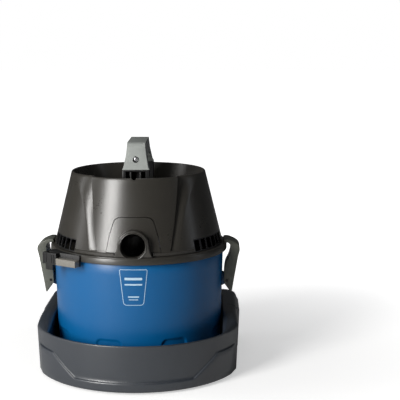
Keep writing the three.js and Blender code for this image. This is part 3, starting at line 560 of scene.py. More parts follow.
def colour_mix(tree, share, first, second):
    node = tree.nodes.new("ShaderNodeMix")
    node.data_type = "RGBA"
    colours = [socket for socket in node.inputs if socket.type == "RGBA"]
    for socket, value in zip(colours, (first, second)):
        if isinstance(value, tuple):
            socket.default_value = value
        else:
            tree.links.new(value, socket)
    tree.links.new(share, node.inputs["Factor"])
    return [socket for socket in node.outputs if socket.type == "RGBA"][0]


def new_material(name):
    material = bpy.data.materials.new(name)
    material.use_nodes = True
    return material, material.node_tree, material.node_tree.nodes["Principled BSDF"]


def add_gloss(tree, shader, tone, spread, roughness):
    """Roughness that varies with the tone, over a spread centred on a value."""
    varied = number_node(tree, "ADD", number_node(tree, "MULTIPLY", tone, spread), roughness - spread / 2)
    tree.links.new(varied, shader.inputs["Roughness"])


def add_bump(tree, shader, height, distance, strength):
    bump = tree.nodes.new("ShaderNodeBump")
    bump.inputs["Distance"].default_value = distance
    bump.inputs["Strength"].default_value = strength
    tree.links.new(height, bump.inputs["Height"])
    tree.links.new(bump.outputs["Normal"], shader.inputs["Normal"])


def moulded(name, shade, roughness, grain, depth, drift, wear, dust, specular):
    """Moulded plastic: grain in its bump, drift in its colour and gloss, rubbed edges and a little dust."""
    material, tree, shader = new_material(name)
    surface = effect(tree, "moulded_grain", Scale=grain)
    base = colour_mix(tree, surface["Tone"], tinted(shade, 1 - drift), tinted(shade, 1 + drift))
    worn = colour_mix(tree, effect(tree, "edge_wear", Amount=wear)["Mask"], base, tinted(shade, 2.2))
    pale = tuple(0.5 + 0.1 * part for part in linear(shade)) + (1.0,)
    dusty = colour_mix(tree, effect(tree, "settled_dust", Amount=dust)["Mask"], worn, pale)
    tree.links.new(dusty, shader.inputs["Base Color"])
    add_gloss(tree, shader, surface["Tone"], 0.18, roughness)
    add_bump(tree, shader, surface["Height"], depth, 0.5)
    shader.inputs["Specular IOR Level"].default_value = specular
    return material


def metal(name, shade, roughness, grain=600.0, stretch=(1.0, 1.0, 0.04)):
    """Machined metal with fine marks drawn out along one axis."""
    material, tree, shader = new_material(name)
    mapping = tree.nodes.new("ShaderNodeMapping")
    mapping.inputs["Scale"].default_value = stretch
    tree.links.new(object_place(tree), mapping.inputs["Vector"])
    marks = noise(tree, mapping.outputs["Vector"], grain, 4.0, 0.6)
    base = colour_mix(tree, marks, tinted(shade, 0.82), tinted(shade, 1.08))
    worn = colour_mix(tree, effect(tree, "edge_wear", Amount=0.4)["Mask"], base, tinted(shade, 1.4))
    tree.links.new(worn, shader.inputs["Base Color"])
    add_gloss(tree, shader, marks, 0.2, roughness)
    shader.inputs["Metallic"].default_value = 1.0
    add_bump(tree, shader, marks, 0.00003, 0.4)
    return material


def winding(name, shade):
    """Enamelled copper wire laid in close turns."""
    material = metal(name, shade, 0.35, 300.0, (1.0, 1.0, 1.0))
    tree = material.node_tree
    wave = tree.nodes.new("ShaderNodeTexWave")
    wave.bands_direction = "Z"
    wave.inputs["Scale"].default_value = 320.0
    tree.links.new(object_place(tree), wave.inputs["Vector"])
    add_bump(tree, tree.nodes["Principled BSDF"], wave.outputs["Fac"], 0.0003, 1.0)
    return material


def floor_finish(shade):
    """A pale floor that keeps soft shadows near the part and fades to white away from it."""
    material = moulded("studio_floor", shade, 0.9, 40.0, 0.0, 0.005, 0.0, 0.0, 0.2)
    tree = material.node_tree
    shader = tree.nodes["Principled BSDF"]
    reach = tree.nodes.new("ShaderNodeVectorMath")
    reach.operation = "LENGTH"
    tree.links.new(object_place(tree), reach.inputs[0])
    away = ramp(tree, reach.outputs["Value"], 0.15, 1.2)
    glow = number_node(tree, "ADD", number_node(tree, "MULTIPLY", away, 0.55), 0.5)
    seen = number_node(tree, "MULTIPLY", glow, tree.nodes.new("ShaderNodeLightPath").outputs["Is Camera Ray"])
    shader.inputs["Emission Color"].default_value = (1.0, 1.0, 1.0, 1.0)
    tree.links.new(seen, shader.inputs["Emission Strength"])
    return material


# each plastic's shade, roughness, grain, grain depth, drift, wear, dust and specular level
PLASTICS = {
    "head_charcoal": ("head", 0.30, 1100.0, 0.00004, 0.10, 0.0, 0.0, 0.6),
    # painted highlight: the wand bracket's plate, paler than its moulding where it faces the light
    "bracket_painted_highlight": ("bracket", 0.30, 1100.0, 0.00003, 0.10, 0.10, 0.0, 0.5),
    "tank_blue": ("tank", 0.36, 1300.0, 0.00003, 0.05, 0.06, 0.0, 0.45),
    "tray_slate": ("tray", 0.36, 800.0, 0.00008, 0.16, 0.30, 0.01, 1.0),
    "handle_grey": ("handle", 0.46, 1000.0, 0.00006, 0.08, 0.15, 0.0, 0.5),
    "latch_grey": ("latch", 0.42, 700.0, 0.00010, 0.14, 0.35, 0.03, 0.5),
    "black_plastic": ("black", 0.42, 1000.0, 0.00006, 0.2, 0.4, 0.03, 0.5),
    "rubber": ("rubber", 0.78, 600.0, 0.00008, 0.2, 0.2, 0.08, 0.3),
    "white_plastic": ("white", 0.45, 900.0, 0.00005, 0.04, 0.1, 0.0, 0.5),
    "label_print": ("print_white", 0.35, 1200.0, 0.00002, 0.03, 0.0, 0.0, 0.5),
    "filter_paper": ("paper", 0.88, 500.0, 0.00012, 0.07, 0.0, 0.05, 0.2),
}
METALS = {
    "steel": ((0.74, 0.74, 0.75), 0.32),
    "aluminium": ((0.80, 0.81, 0.82), 0.34),
    # painted shade: the latch pins' steel made dark to stand in for the shadow in their bores
    "pin_painted_shade_steel": ((0.20, 0.20, 0.21), 0.42),
    "core_steel": ((0.45, 0.45, 0.46), 0.45, 500.0, (0.1, 0.1, 1.0)),
}
COPPER = (0.72, 0.42, 0.26)
FINISHES = {}


def finish(name):
    """The named finish, made the first time that it is asked for."""
    if name not in FINISHES:
        if name in PLASTICS:
            shade, *values = PLASTICS[name]
            FINISHES[name] = moulded(name, getattr(bpy.context.scene.vacuum_colours, shade), *values)
        elif name in METALS:
            FINISHES[name] = metal(name, *METALS[name])
        else:
            FINISHES[name] = winding(name, COPPER)
    return FINISHES[name]


# ---------- shapes of the head ----------

def cone_radius(z):
    sizes = bpy.context.scene.vacuum_sizes
    wide, rim = sizes.cone_radius / MM, sizes.rim_radius / MM
    return wide - (wide - rim) * (z - CONE_BASE_Z) / (RIM_Z - CONE_BASE_Z)


PANEL_COLUMN = 30.0  # even azimuth of the columns that follow the front panel's edge
OUTER_COLUMN = 48.0  # even azimuth of the columns where the flutes run out


def flute_edges(z):
    share = min(max((z - CONE_BASE_Z) / (RIM_Z - CONE_BASE_Z), 0.0), 1.0)
    panel = mix(24.5, 38.0, share)
    outer = 31.0 + 14.0 * share + 23.0 * share**4
    return share, panel, outer


def fluted_azimuth(even, z):
    """Moves evenly spaced columns so that two of them run along a flute's edges."""
    _, panel, outer = flute_edges(z)
    side = abs(even)
    if side <= PANEL_COLUMN:
        bent = side * panel / PANEL_COLUMN
    elif side <= OUTER_COLUMN:
        bent = mix(panel, outer, (side - PANEL_COLUMN) / (OUTER_COLUMN - PANEL_COLUMN))
    else:
        bent = mix(outer, 180.0, (side - OUTER_COLUMN) / (180.0 - OUTER_COLUMN))
    return math.copysign(bent, even)


def flute_depth(even, z):
    side = abs(even)
    if side <= PANEL_COLUMN or side >= OUTER_COLUMN or z < CONE_BASE_Z:
        return 0.0
    share, _, _ = flute_edges(z)
    across = (side - PANEL_COLUMN) / (OUTER_COLUMN - PANEL_COLUMN)
    deepest = mix(4.0, bpy.context.scene.vacuum_sizes.flute_depth / MM, share)
    return deepest * min(across / 0.11, 1.0) * (1 - across) ** 1.4


def housing_point(row, even):
    radius, z, dented = row
    azimuth = fluted_azimuth(even, z)
    return polar(radius - dented * flute_depth(even, z), azimuth, z)


def housing_rows():
    """Rows for the cone with its rim, flutes and the open recess in its top, and for its underside."""
    top = RIM_Z
    rim = cone_radius(top)
    inner = rim - 3.4
    floor_radius = rim - 14.4
    wall_foot = floor_radius + 4
    outside = [CONE_BASE_Z + (top - 1.4 - CONE_BASE_Z) * step / 28 for step in range(29)]
    return [
        (BAND_RADIUS - SHELL_WALL, FLANGE_HEIGHT + 0.3, 0),
        (BAND_RADIUS - 0.6, FLANGE_HEIGHT + 0.3, 0), (BAND_RADIUS, FLANGE_HEIGHT + 0.9, 0),
        (BAND_RADIUS, CONE_BASE_Z - 2.9, 0), (BAND_RADIUS - 0.5, CONE_BASE_Z - 2.2, 0),
        (cone_radius(CONE_BASE_Z) + 0.4, CONE_BASE_Z - 1.7, 0),
        (cone_radius(CONE_BASE_Z), CONE_BASE_Z - 0.9, 0),
        *((cone_radius(z), z, 1) for z in outside),
        (rim - 0.4, top - 0.5, 1), (rim - 1.2, top, 1), (inner + 0.8, top, 1),
        (inner, top - 0.8, 1), (inner - 0.4, top - 3, 1),
        *(
            (mix(wall_foot, inner - 0.4, up / 6), mix(RECESS_Z + 4, top - 3, up / 6), up / 6)
            for up in (5, 4, 3, 2, 1)
        ),
        *((r, z, 0) for r, z in arc(floor_radius, RECESS_Z + 4, 4, 0, -90, 4)),
        (floor_radius * 0.6, RECESS_Z, 0), (0, RECESS_Z, 0), (0, RECESS_Z - 3, 0),
        (floor_radius + 1, RECESS_Z - 3, 0), (cone_radius(120) - SHELL_WALL - 1, 120, 1),
        (cone_radius(90) - SHELL_WALL, 90, 1), (cone_radius(56) - SHELL_WALL, 56, 1),
        (cone_radius(CONE_BASE_Z) - SHELL_WALL, CONE_BASE_Z, 1),
        (BAND_RADIUS - SHELL_WALL, CONE_BASE_Z - 3, 0),
    ]


def arch_outline(inset):
    low = CONE_BASE_Z - 1.6 + inset
    half_top, half_low, top, corner = 33.0, 47.5, 79.0, 13.0
    return [
        (inset - half_low, low), (half_low - inset, low), (42.5 - inset, 45.0),
        (half_top - inset + 3.4, top - inset - corner),
        *arc(half_top - inset - corner + 2.6, top - inset - corner, corner, 12, 90, 12),
        *arc(corner - half_top + inset - 2.6, top - inset - corner, corner, 90, 168, 12),
        (inset - half_top - 3.4, top - inset - corner),
        (inset - 42.5, 45.0),
    ]


def hood_outline():
    radius = 27.0
    return [
        (-HOOD_HALF, FLANGE_HEIGHT + 0.4), (HOOD_HALF, FLANGE_HEIGHT + 0.4),
        (radius + 1.6, PORT_Z - 8),
        *arc(0, PORT_Z, radius, 0, 180, 32),
        (-radius - 1.6, PORT_Z - 8),
    ]


VENT_FROM = 43.6
VENT_SLOTS = 6
VENT_PITCH = 6.3
VENT_LOW = 13.4
VENT_HIGH = 35.0


def vent_outline(margin):
    start, end = VENT_FROM - margin, VENT_FROM + VENT_SLOTS * VENT_PITCH + margin
    return [*arc(0, 0, 178, start - 90, end - 90, 16), *arc(0, 0, 126, end - 90, start - 90, 16)]


def housing():
    rows = housing_rows()
    shell = lofted([*rows, rows[0]], 360, housing_point)
    seat = RIM_Z - 40
    hood = HOOD_HALF + 0.3
    window = prism(vent_outline(0.25), VENT_LOW - 0.3, VENT_HIGH + 0.3)
    doorway = prism(arch_outline(0.0), -200, -100, "FRONT")
    return cut(
        shell,
        joined(doorway, block((-hood, -200, FLANGE_HEIGHT - 5), (hood, -100, FLANGE_HEIGHT + 8))),
        other_side(window),
        window,
        block((53, -20, seat - 20), (79, 20, seat + 20)),
        rod(4, (0, -140, RIM_Z + 0.8), (0, -100, RIM_Z + 0.8)),
        rod(7.3, (0, 110, CORD_Z), (0, 180, CORD_Z)),
    )


def front_cover():
    gap = bpy.context.scene.vacuum_sizes.seam_gap / MM
    low, high, proud = CONE_BASE_Z - 3, 92.0, 0.7
    shell = turned(
        [
            (cone_radius(low) + proud - SHELL_WALL, low), (cone_radius(low) + proud, low),
            (cone_radius(high) + proud, high),
            (cone_radius(high) + proud - SHELL_WALL, high),
        ],
        360,
    )
    plate = shared(shell, prism(arch_outline(gap), -200, -100, "FRONT"))
    hood = prism(hood_outline(), PORT_LOW.y + 1.5, -140, "FRONT")
    rounded(hood, 2.2, 60, 4, lambda edge: all(vert.co.y < -150 for vert in edge.verts))
    inner = [(0, 0), (cone_radius(0) - SHELL_WALL, 0), (cone_radius(90) - SHELL_WALL, 90), (0, 90)]
    inside = turned_solid(inner, 180)
    bore = rod(PORT_HIGH.x + 0.3, (0, -200, PORT_Z), (0, -100, PORT_Z), 96)
    return cut(joined(plate, cut(hood, inside)), bore)


def hose_port():
    outer, bore = PORT_HIGH.x, PORT_HIGH.x - 1.6
    depth = PORT_HIGH.y - PORT_LOW.y
    tube = turned(
        [
            (outer, depth), (outer, 1.0), (outer - 0.4, 0.2), (outer - 0.9, 0.0), (bore + 0.3, 0.2),
            (bore, 0.9), (bore - 0.2, 6.0), (bore - 1.0, 6.6), (bore - 1.4, depth),
        ],
        128,
    )
    return lying(tube, PORT_LOW.y, PORT_Z)


def vent_grille():
    """Upright ribs between two curved rails."""
    low, high = VENT_LOW, VENT_HIGH
    zone = prism(vent_outline(0.0), low, high)
    plate = turned(
        [
            (cone_radius(low) - 3.6, low), (cone_radius(low) - 0.9, low),
            (cone_radius(high) - 0.9, high), (cone_radius(high) - 3.6, high),
        ],
        240,
    )
    half = math.radians(VENT_PITCH) * cone_radius(20) / 2 - 1.3
    slots = []
    for number in range(VENT_SLOTS):
        slot = block((-half, -180, low + 1.4), (half, -120, high - 1.6))
        rounded(slot, 1.2, 60, 3, longer_than(1, 10))
        slots.append(about_axis(slot, VENT_FROM + (number + 0.5) * VENT_PITCH))
    return cut(shared(plate, zone), *slots)


def flange_shape():
    """The flange with its skirt, its deck and the collar that carries the filter."""
    radius, height, skirt = FLANGE_RADIUS, FLANGE_HEIGHT, FLANGE_RADIUS - 4.5
    ledge = BAND_RADIUS - 6.2
    deck_low, deck_high, throat = 4.3, 7.3, 16
    collar_in, collar_out, collar_low = 58, 62, -22
    return turned(
        [
            (skirt, 0), (radius - 0.8, 0), (radius, 0.8), (radius, height - 3.2),
            (radius - 0.5, height - 2.0), (radius - 1.2, height - 1.4),
            (radius - 1.6, height - 0.3), (radius - 2.4, height), (ledge, height),
            (ledge, deck_high), (throat, deck_high), (throat, deck_low), (collar_in, deck_low),
            (collar_in, collar_low + 0.8), (collar_in + 0.8, collar_low),
            (collar_out - 0.8, collar_low), (collar_out, collar_low + 0.8), (collar_out, deck_low),
            (skirt, deck_low),
        ],
        240,
    )


BRACKET_TURN = -33.0  # towards which the bracket's front faces
BRACKET_FRONT = FLANGE_RADIUS + 16.2
BRACKET_LEFT, BRACKET_SPLIT, BRACKET_RIGHT = -79, -49, -5  # its ends, and where its plate starts
BRACKET_LOW, BRACKET_HIGH = -8, 12
SLOT_X = -64.5  # middle of the slot and of the tongue below it


def on_flange(shape, *tools):
    """Cuts a shape clear of the flange and turns it to its place."""
    clear = rod(FLANGE_RADIUS + 0.3, (0, 0, -40), (0, 0, 40), 240)
    return about_axis(cut(shape, clear, *tools), BRACKET_TURN)


def wand_bracket():
    """The slotted block on the flange that holds the wand's hook, with a tongue below it. Its black body is
    painted shade for the side turned from the light, beside the plate's painted highlight.
    """
    front, low, high = 1.6 - BRACKET_FRONT, BRACKET_LOW, BRACKET_HIGH
    body = block((BRACKET_LEFT, front, low), (BRACKET_SPLIT + 0.4, front + 50, high))
    rear = block((BRACKET_SPLIT, front + 10.4, low), (BRACKET_RIGHT, front + 50, high))
    tongue = block((SLOT_X - 8, front, low - 10), (SLOT_X + 8, front + 4.4, low + 2))
    whole = rounded(joined(body, rear, tongue), 1.0, 30, 3)
    slot = block((SLOT_X - 10, front + 4.4, low - 12), (SLOT_X + 10, front + 12.4, high + 8))
    rounded(slot, 1.0, 60, 3, longer_than(2, 10))
    ribs = [
        block((x - 0.8, front - 1, low + 2.5), (x + 0.8, front + 0.7, high - 2.5))
        for x in (-75.5, -70, -58, -53)
    ]
    return on_flange(whole, slot, *ribs)


def bracket_plate():
    """The smooth low plate beside the slot. Its pale finish is a painted highlight for the face turned to the
    light.
    """
    low = (BRACKET_SPLIT + 0.8, -BRACKET_FRONT, BRACKET_LOW)
    high = (BRACKET_RIGHT, 11.6 - BRACKET_FRONT, BRACKET_HIGH - 8)
    return on_flange(rounded(block(low, high), 1.2, 30, 4))


# ---------- shapes of the tank ----------

PANELS = 8
PANEL_TURN = 5.0


def panel_mask(azimuth, radius, z):
    """How far a point of the wall lies inside one of the pressed panels, from 0 to 1."""
    pitch = 360.0 / PANELS
    from_centre = (azimuth - PANEL_TURN) % pitch - pitch / 2
    across = abs(math.radians(from_centre) * radius)
    top, corner, edge = 76.0, 10.0, 2.6
    half = mix(29.0, 24.0, min(max(z / top, 0.0), 1.0))
    side, up = across - (half - corner), z - (top - corner)
    if side > 0 and up > 0:
        inside = corner - math.hypot(side, up)
    else:
        inside = corner - max(side, up)
    return smooth_step(0.0, edge, inside) * smooth_step(2.0, 12.0, z)


def tank_point(row, azimuth):
    radius, z, pressed = row
    if pressed:
        radius -= bpy.context.scene.vacuum_sizes.panel_depth / MM * panel_mask(azimuth, radius, z)
    return polar(radius, azimuth, z)


def tank_wall(z):
    """Outer radius of the tank at a height above its rounded edge."""
    return mix(TANK_FOOT_RADIUS, TANK_RIM_RADIUS, (z - TANK_EDGE) / (TANK_HEIGHT - TANK_EDGE))


def tank_shell():
    low, high, edge, wall = TANK_FOOT_RADIUS, TANK_RIM_RADIUS, TANK_EDGE, 4.0
    levels = [20 + 2.0 * step for step in range(31)] + [92, 110, 130, 150, 170, 190, TANK_HEIGHT - 1]
    rows = [
        (0, 3, 0), (108, 3, 0), (112, 2.6, 0), (115, 0.4, 0), (117, 0, 0),
        *((r, z, 1) for r, z in arc(low - edge, edge, edge, -90, 0, 10)),
        *((tank_wall(z), z, 1 if z < 90 else 0) for z in levels),
        (high - 0.6, TANK_HEIGHT, 0), (high - wall + 0.6, TANK_HEIGHT, 0),
        (high - wall, TANK_HEIGHT - 0.8, 0),
        *((r, z, 0) for r, z in arc(low - edge, edge, edge - wall, 0, -90, 8)),
        (116, 4, 0), (110, 7, 0), (0, 7, 0),
    ]
    return lofted(rows, 640, tank_point)


def latch_lug():
    """A rounded lug on the tank's right side that carries the latch's pin."""
    z = (PIN_LOW.z + PIN_HIGH.z) / 2 + (DECK.z - TANK.z) / MM
    pivot = (PIN_LOW.x + PIN_HIGH.x) / 2
    outline = [(149.5, z - 13), *arc(pivot, z, 7, -70, 70, 12), (149.5, z + 13)]
    return cut(rounded(prism(outline, -9, 9, "FRONT"), 0.7, 40, 2), rod(2.6, (pivot, -60, z), (pivot, 60, z)))


def tank_catch():
    """The ledge on the tank's back that the clip hooks over."""
    z = CLIP_HIGH.z + (FLOOR.z - TANK.z) / MM - 11.5
    wall = mix(TANK_FOOT_RADIUS, TANK_RIM_RADIUS, z / TANK_HEIGHT)
    profile = [
        (wall - 2, z - 6), (wall + 1, z - 6), (wall + 3.6, z - 2), (wall + 3.6, z),
        (wall + 1, z + 2.4), (wall - 2, z + 2.4),
    ]
    return rounded(prism(profile, -14, 14, "SIDE"), 0.5, 30, 2)


def tank_label():
    """A thin printed outline with plain bars, laid on the tank's front."""
    line = bpy.context.scene.vacuum_sizes.label_line / MM
    top, low, half_top, half_low = TANK_HEIGHT - 10.5, TANK_HEIGHT - 73.5, 24.0, 18.0
    corner_low, corner_top = 6.0, 2.5
    outline = [
        *arc(half_low - corner_low, low + corner_low, corner_low, -90, -6, 8),
        *arc(half_top - corner_top, top - corner_top, corner_top, -6, 90, 5),
        *arc(corner_top - half_top, top - corner_top, corner_top, 90, 186, 5),
        *arc(corner_low - half_low, low + corner_low, corner_low, 186, 270, 8),
    ]
    border = prism(outline, 0.0, 0.25, "FRONT")
    face = [item for item in border.faces if len(item.verts) > 8]
    bmesh.ops.inset_region(border, faces=face, thickness=line, use_even_offset=True)
    inner = [item for item in border.faces if len(item.verts) > 8]
    bmesh.ops.bridge_loops(border, edges=[edge for item in inner for edge in item.edges])
    bmesh.ops.delete(border, geom=inner, context="FACES_ONLY")
    bars = []
    for half, below, height in ((15.0, 16.5, 4.2), (15.0, 26.5, 2.6), (9.5, 48.0, 2.2), (8.0, 53.0, 1.4)):
        z = top - below
        bar = block((-half, 0.0, z - height / 2), (half, 0.25, z + height / 2))
        bars.append(rounded(bar, 0.7, 60, 3, longer_than(1, 0.1)))
    whole = gathered(border, *bars)
    wide = longer_than(0, 4)
    bmesh.ops.subdivide_edges(whole, edges=[edge for edge in whole.edges if wide(edge)], cuts=14)
    for vert in whole.verts:
        vert.co.y = -math.sqrt(tank_wall(vert.co.z) ** 2 - vert.co.x**2) - 0.22 + vert.co.y
    bmesh.ops.recalc_face_normals(whole, faces=whole.faces)
    return whole


# ---------- latches, handle and switch ----------

def latch_lever():
    """A C-shaped lever: its hook lies on the flange and its tail hangs below the pin."""
    px, pz = (PIN_LOW.x + PIN_HIGH.x) / 2, (PIN_LOW.z + PIN_HIGH.z) / 2
    hook = LATCH_LOW.x
    under, reach = FLANGE_HEIGHT + 0.4, LATCH_HIGH.x - px
    top = LATCH_HIGH.z
    outline = [
        (hook, under), (px + 3, under), (px + 7.5, 7), (px + 6.6, -4), (px + 3, -16),
        (px - 2.0, -25), (px - 4.2, -36), (px - 5.4, pz - 3), (px - 3, pz - 7.5), (px + 9, pz - 24),
        (px + 13.4, pz + 3), (px + 16.6, -36), (px + reach - 3.4, -13), (px + reach, 0),
        (px + reach - 1.4, 7.4), (px + reach - 7.5, 13.2), (px + 3, top), (hook, top - 0.4),
    ]
    lever = rounded(prism(softened(outline, 4.0), LATCH_LOW.y, LATCH_HIGH.y, "FRONT"), 1.4, 60, 3)
    slot = block((px - 30, -9.6, pz - 24), (px + 7.6, 9.6, pz + 20))
    bore = rod(2.75, (px, -60, pz), (px, 60, pz), 32)
    grips = [
        rounded(block((px + 13.2 + 0.08 * up, -15, pz + up - 0.8), (px + 40, 15, pz + up + 0.8)), 0.4, 40, 2)
        for up in (2, 6, 10, 14)
    ]
    return cut(lever, joined(slot, bore), *grips)


def handle_shape():
    """Two leaning legs and a level grip, wider at the feet."""
    foot_y, top, low = HANDLE_HIGH.y, HANDLE_HIGH.z, HANDLE_LOW.z
    shoulder, leg, grip = foot_y - 19, 17.0, 25.0
    inner = shoulder - leg + 2
    outline = [
        (-foot_y, low), (-foot_y + 0.5, low + 4), (-shoulder - 8.5, top - 20),
        *arc(6 - shoulder, top - 13, 13, 160, 90, 8),
        *arc(shoulder - 6, top - 13, 13, 90, 20, 8),
        (shoulder + 8.5, top - 20), (foot_y - 0.5, low + 4), (foot_y, low), (foot_y - leg, low),
        *arc(inner - 8, top - grip - 8, 8, 0, 90, 8),
        *arc(8 - inner, top - grip - 8, 8, 90, 180, 8),
        (leg - foot_y, low),
    ]
    shape = prism(outline, -1, 1, "SIDE")
    bmesh.ops.triangulate(shape, faces=[face for face in shape.faces if len(face.verts) > 4])
    bmesh.ops.join_triangles(shape, faces=shape.faces, angle_face_threshold=0.1, angle_shape_threshold=3.1)
    for vert in shape.verts:
        share = min(max((vert.co.z - low) / (top - low) * 1.15, 0.0), 1.0)
        vert.co.x *= mix(HANDLE_HIGH.x, 16.0, math.sqrt(share))
    return shape


def carry_handle():
    shape = handle_shape()
    rounded(shape, 2.2, 50, 4, lambda edge: abs(edge.verts[0].co.x - edge.verts[1].co.x) < 10)
    screw_z = HANDLE_LOW.z + SCREW_RISE
    holes = []
    for end in (-1, 1):
        face = HANDLE_HIGH.y * end
        holes.append(rod(5.6, (0, face * 1.3, screw_z), (0, face - 12 * end, screw_z), 48))
        holes.append(rod(2.3, (0, face - 16 * end, screw_z), (0, face - 11 * end, screw_z), 24))
    return cut(shape, *holes)


def handle_screw():
    """A pan head with a cross recess and a shank, in the front leg."""
    profile = [(0, -3.0), (2.6, -2.9), (4.0, -2.2), (4.7, -1.0), (4.7, 0), (2, 0), (2, 11), (0, 11)]
    cross = [block((-2.8, -0.55, -5), (2.8, 0.55, -1.4)), block((-0.55, -2.8, -5), (0.55, 2.8, -1.4))]
    seat = HANDLE_HIGH.y - 12
    return lying(cut(turned_solid(profile, 40), *cross), -seat - 0.3, HANDLE_LOW.z + SCREW_RISE)


def handle_bridge():
    """Two posts on a base plate, with a window in each post."""
    across, along, low, high = BRIDGE_HIGH.x, BRIDGE_HIGH.y, BRIDGE_LOW.z, BRIDGE_HIGH.z
    body = block((-across, -along, low), (across, along, high))
    middle = block((-across - 5, 24 - along, low + 10), (across + 5, along - 24, high + 5))
    window = block((-17, -along - 5, low + 12), (17, 16 - along, high - 3.4))
    posts = cut(body, middle, other_end(window), window)
    rounded(posts, 1.2, 40, 3)
    bars = []
    for end in (-1, 1):
        for x in (-9.0, 8.0):
            y = end * (along - 9)
            bars.append(rounded(block((x - 1.4, y - 5, low + 11), (x + 1.4, y + 5, high - 3)), 0.4, 40, 2))
    return gathered(posts, *bars)


def switch_bezel():
    low, high = local_box("switch_bezel", DECK)
    rock_low, rock_high = local_box("switch_rocker", DECK)
    rim = rounded(block((low.x, low.y, high.z - 2.1), (high.x, high.y, high.z)), 0.9, 40, 3)
    sleeve = block((low.x + 2.4, low.y + 2.4, low.z), (high.x - 2.4, high.y - 2.4, high.z - 1))
    well = block((rock_low.x - 0.5, low.y + 4, low.z + 3), (rock_high.x + 0.5, high.y - 4, high.z + 5))
    return cut(joined(rim, sleeve), well)


def switch_rocker():
    low, high = local_box("switch_rocker", DECK)
    half_x, half_y = (high.x - low.x) / 2, 12.0
    outline = [
        (-half_y, 2.6), (-half_y, -2), (-4, -5.5), (4, -5.5), (half_y, -2), (half_y, 2.6),
        *((half_y * u, 0.8 + 1.8 * u * u) for u in (0.75, 0.5, 0.25, 0.0, -0.25, -0.5, -0.75)),
    ]
    shape = rounded(prism(outline, -half_x, half_x, "SIDE"), 0.5, 30, 2)
    turn = Matrix.Rotation(math.radians(8), 4, "X")
    return moved(shape, Matrix.Translation(((low.x + high.x) / 2, 0, 105)) @ turn)


def cord_inlet():
    profile = [(4.2, -8), (7, -8), (7, 3.1), (9, 3.1), (9.2, 4.0)]
    profile += [(8.9 - 0.45 * step, 4.6 + 1.3 * step) for step in range(6)]
    profile += [(5.6, 12.1), (4.2, 12.1)]
    return lying(turned(profile, 64), cone_radius(CORD_Z), CORD_Z)


# ---------- tray ----------

def outline_radius(azimuth, side, front, back, corner):
    """Distance from the axis to a plan outline with a round front and a straight back."""
    angle = math.radians(abs(azimuth))
    across, ahead = math.sin(angle), math.cos(angle)
    if across * front <= side and ahead > 0:
        return front
    middle = Vector((side - corner, back - corner))
    to_corner = math.degrees(math.atan2(side, -(back - corner)))
    past_corner = math.degrees(math.atan2(side - corner, -back))
    turn = abs(azimuth)
    if turn <= to_corner:
        return side / across
    if turn >= past_corner:
        return back / -ahead
    ray = Vector((across, -ahead))
    along = ray.dot(middle)
    return along + math.sqrt(max(corner**2 - (middle.length_squared - along**2), 0.0))


def tray_rim(x, y):
    """Height of the rim: level over the front lip, higher over the wings, low behind the tank."""
    sizes = bpy.context.scene.vacuum_sizes
    lip, dip, wing = sizes.tray_lip / MM, sizes.tray_dip / MM, TRAY_TOP
    height = mix(lip, wing, smooth_step(-128.0, -8.0, y))
    if y > 60:
        share = smooth_step(0.0, 128.0, abs(x))
        height = min(height, mix(dip, wing, share))
    return height


def tray_wide(azimuth):
    """Radius of the tray's outer wall before its draft."""
    return outline_radius(azimuth, TRAY_SIDE, OPEN_FRONT + FRONT_WALL, TRAY_BACK, TRAY_CORNER)


def drafted(radius, z):
    return radius * (1 - TRAY_DRAFT * (1 - z / TRAY_LIP_Z))


def apron_line(azimuth):
    """Height of the apron's top edge: low in front, rising to each side."""
    side, rise_from, rise_to, low, high = abs(azimuth), 33, 49, 21.0, 57.0
    if side < rise_to:
        return mix(low, high, max((side - rise_from) / (rise_to - rise_from), 0.0))
    return high + 0.06 * (side - rise_to)


def tray_outer(azimuth, z):
    """Radius of the tray's outer wall at a height, with its draft, apron, grooves and cheeks."""
    radius = drafted(tray_wide(azimuth), z)
    y = -radius * math.cos(math.radians(azimuth))
    x = abs(radius * math.sin(math.radians(azimuth)))
    if x > OPEN_SIDE and y > 0:
        radius -= 1.8 * (smooth_step(28, 29.5, y) - smooth_step(35.5, 37, y))
        cheek = smooth_step(37, 52, y) * (1 - smooth_step(122, 148, y))
        cheek *= smooth_step(7, 16, z) * (1 - smooth_step(86, 97, z))
        radius += 4.6 * cheek
    return radius


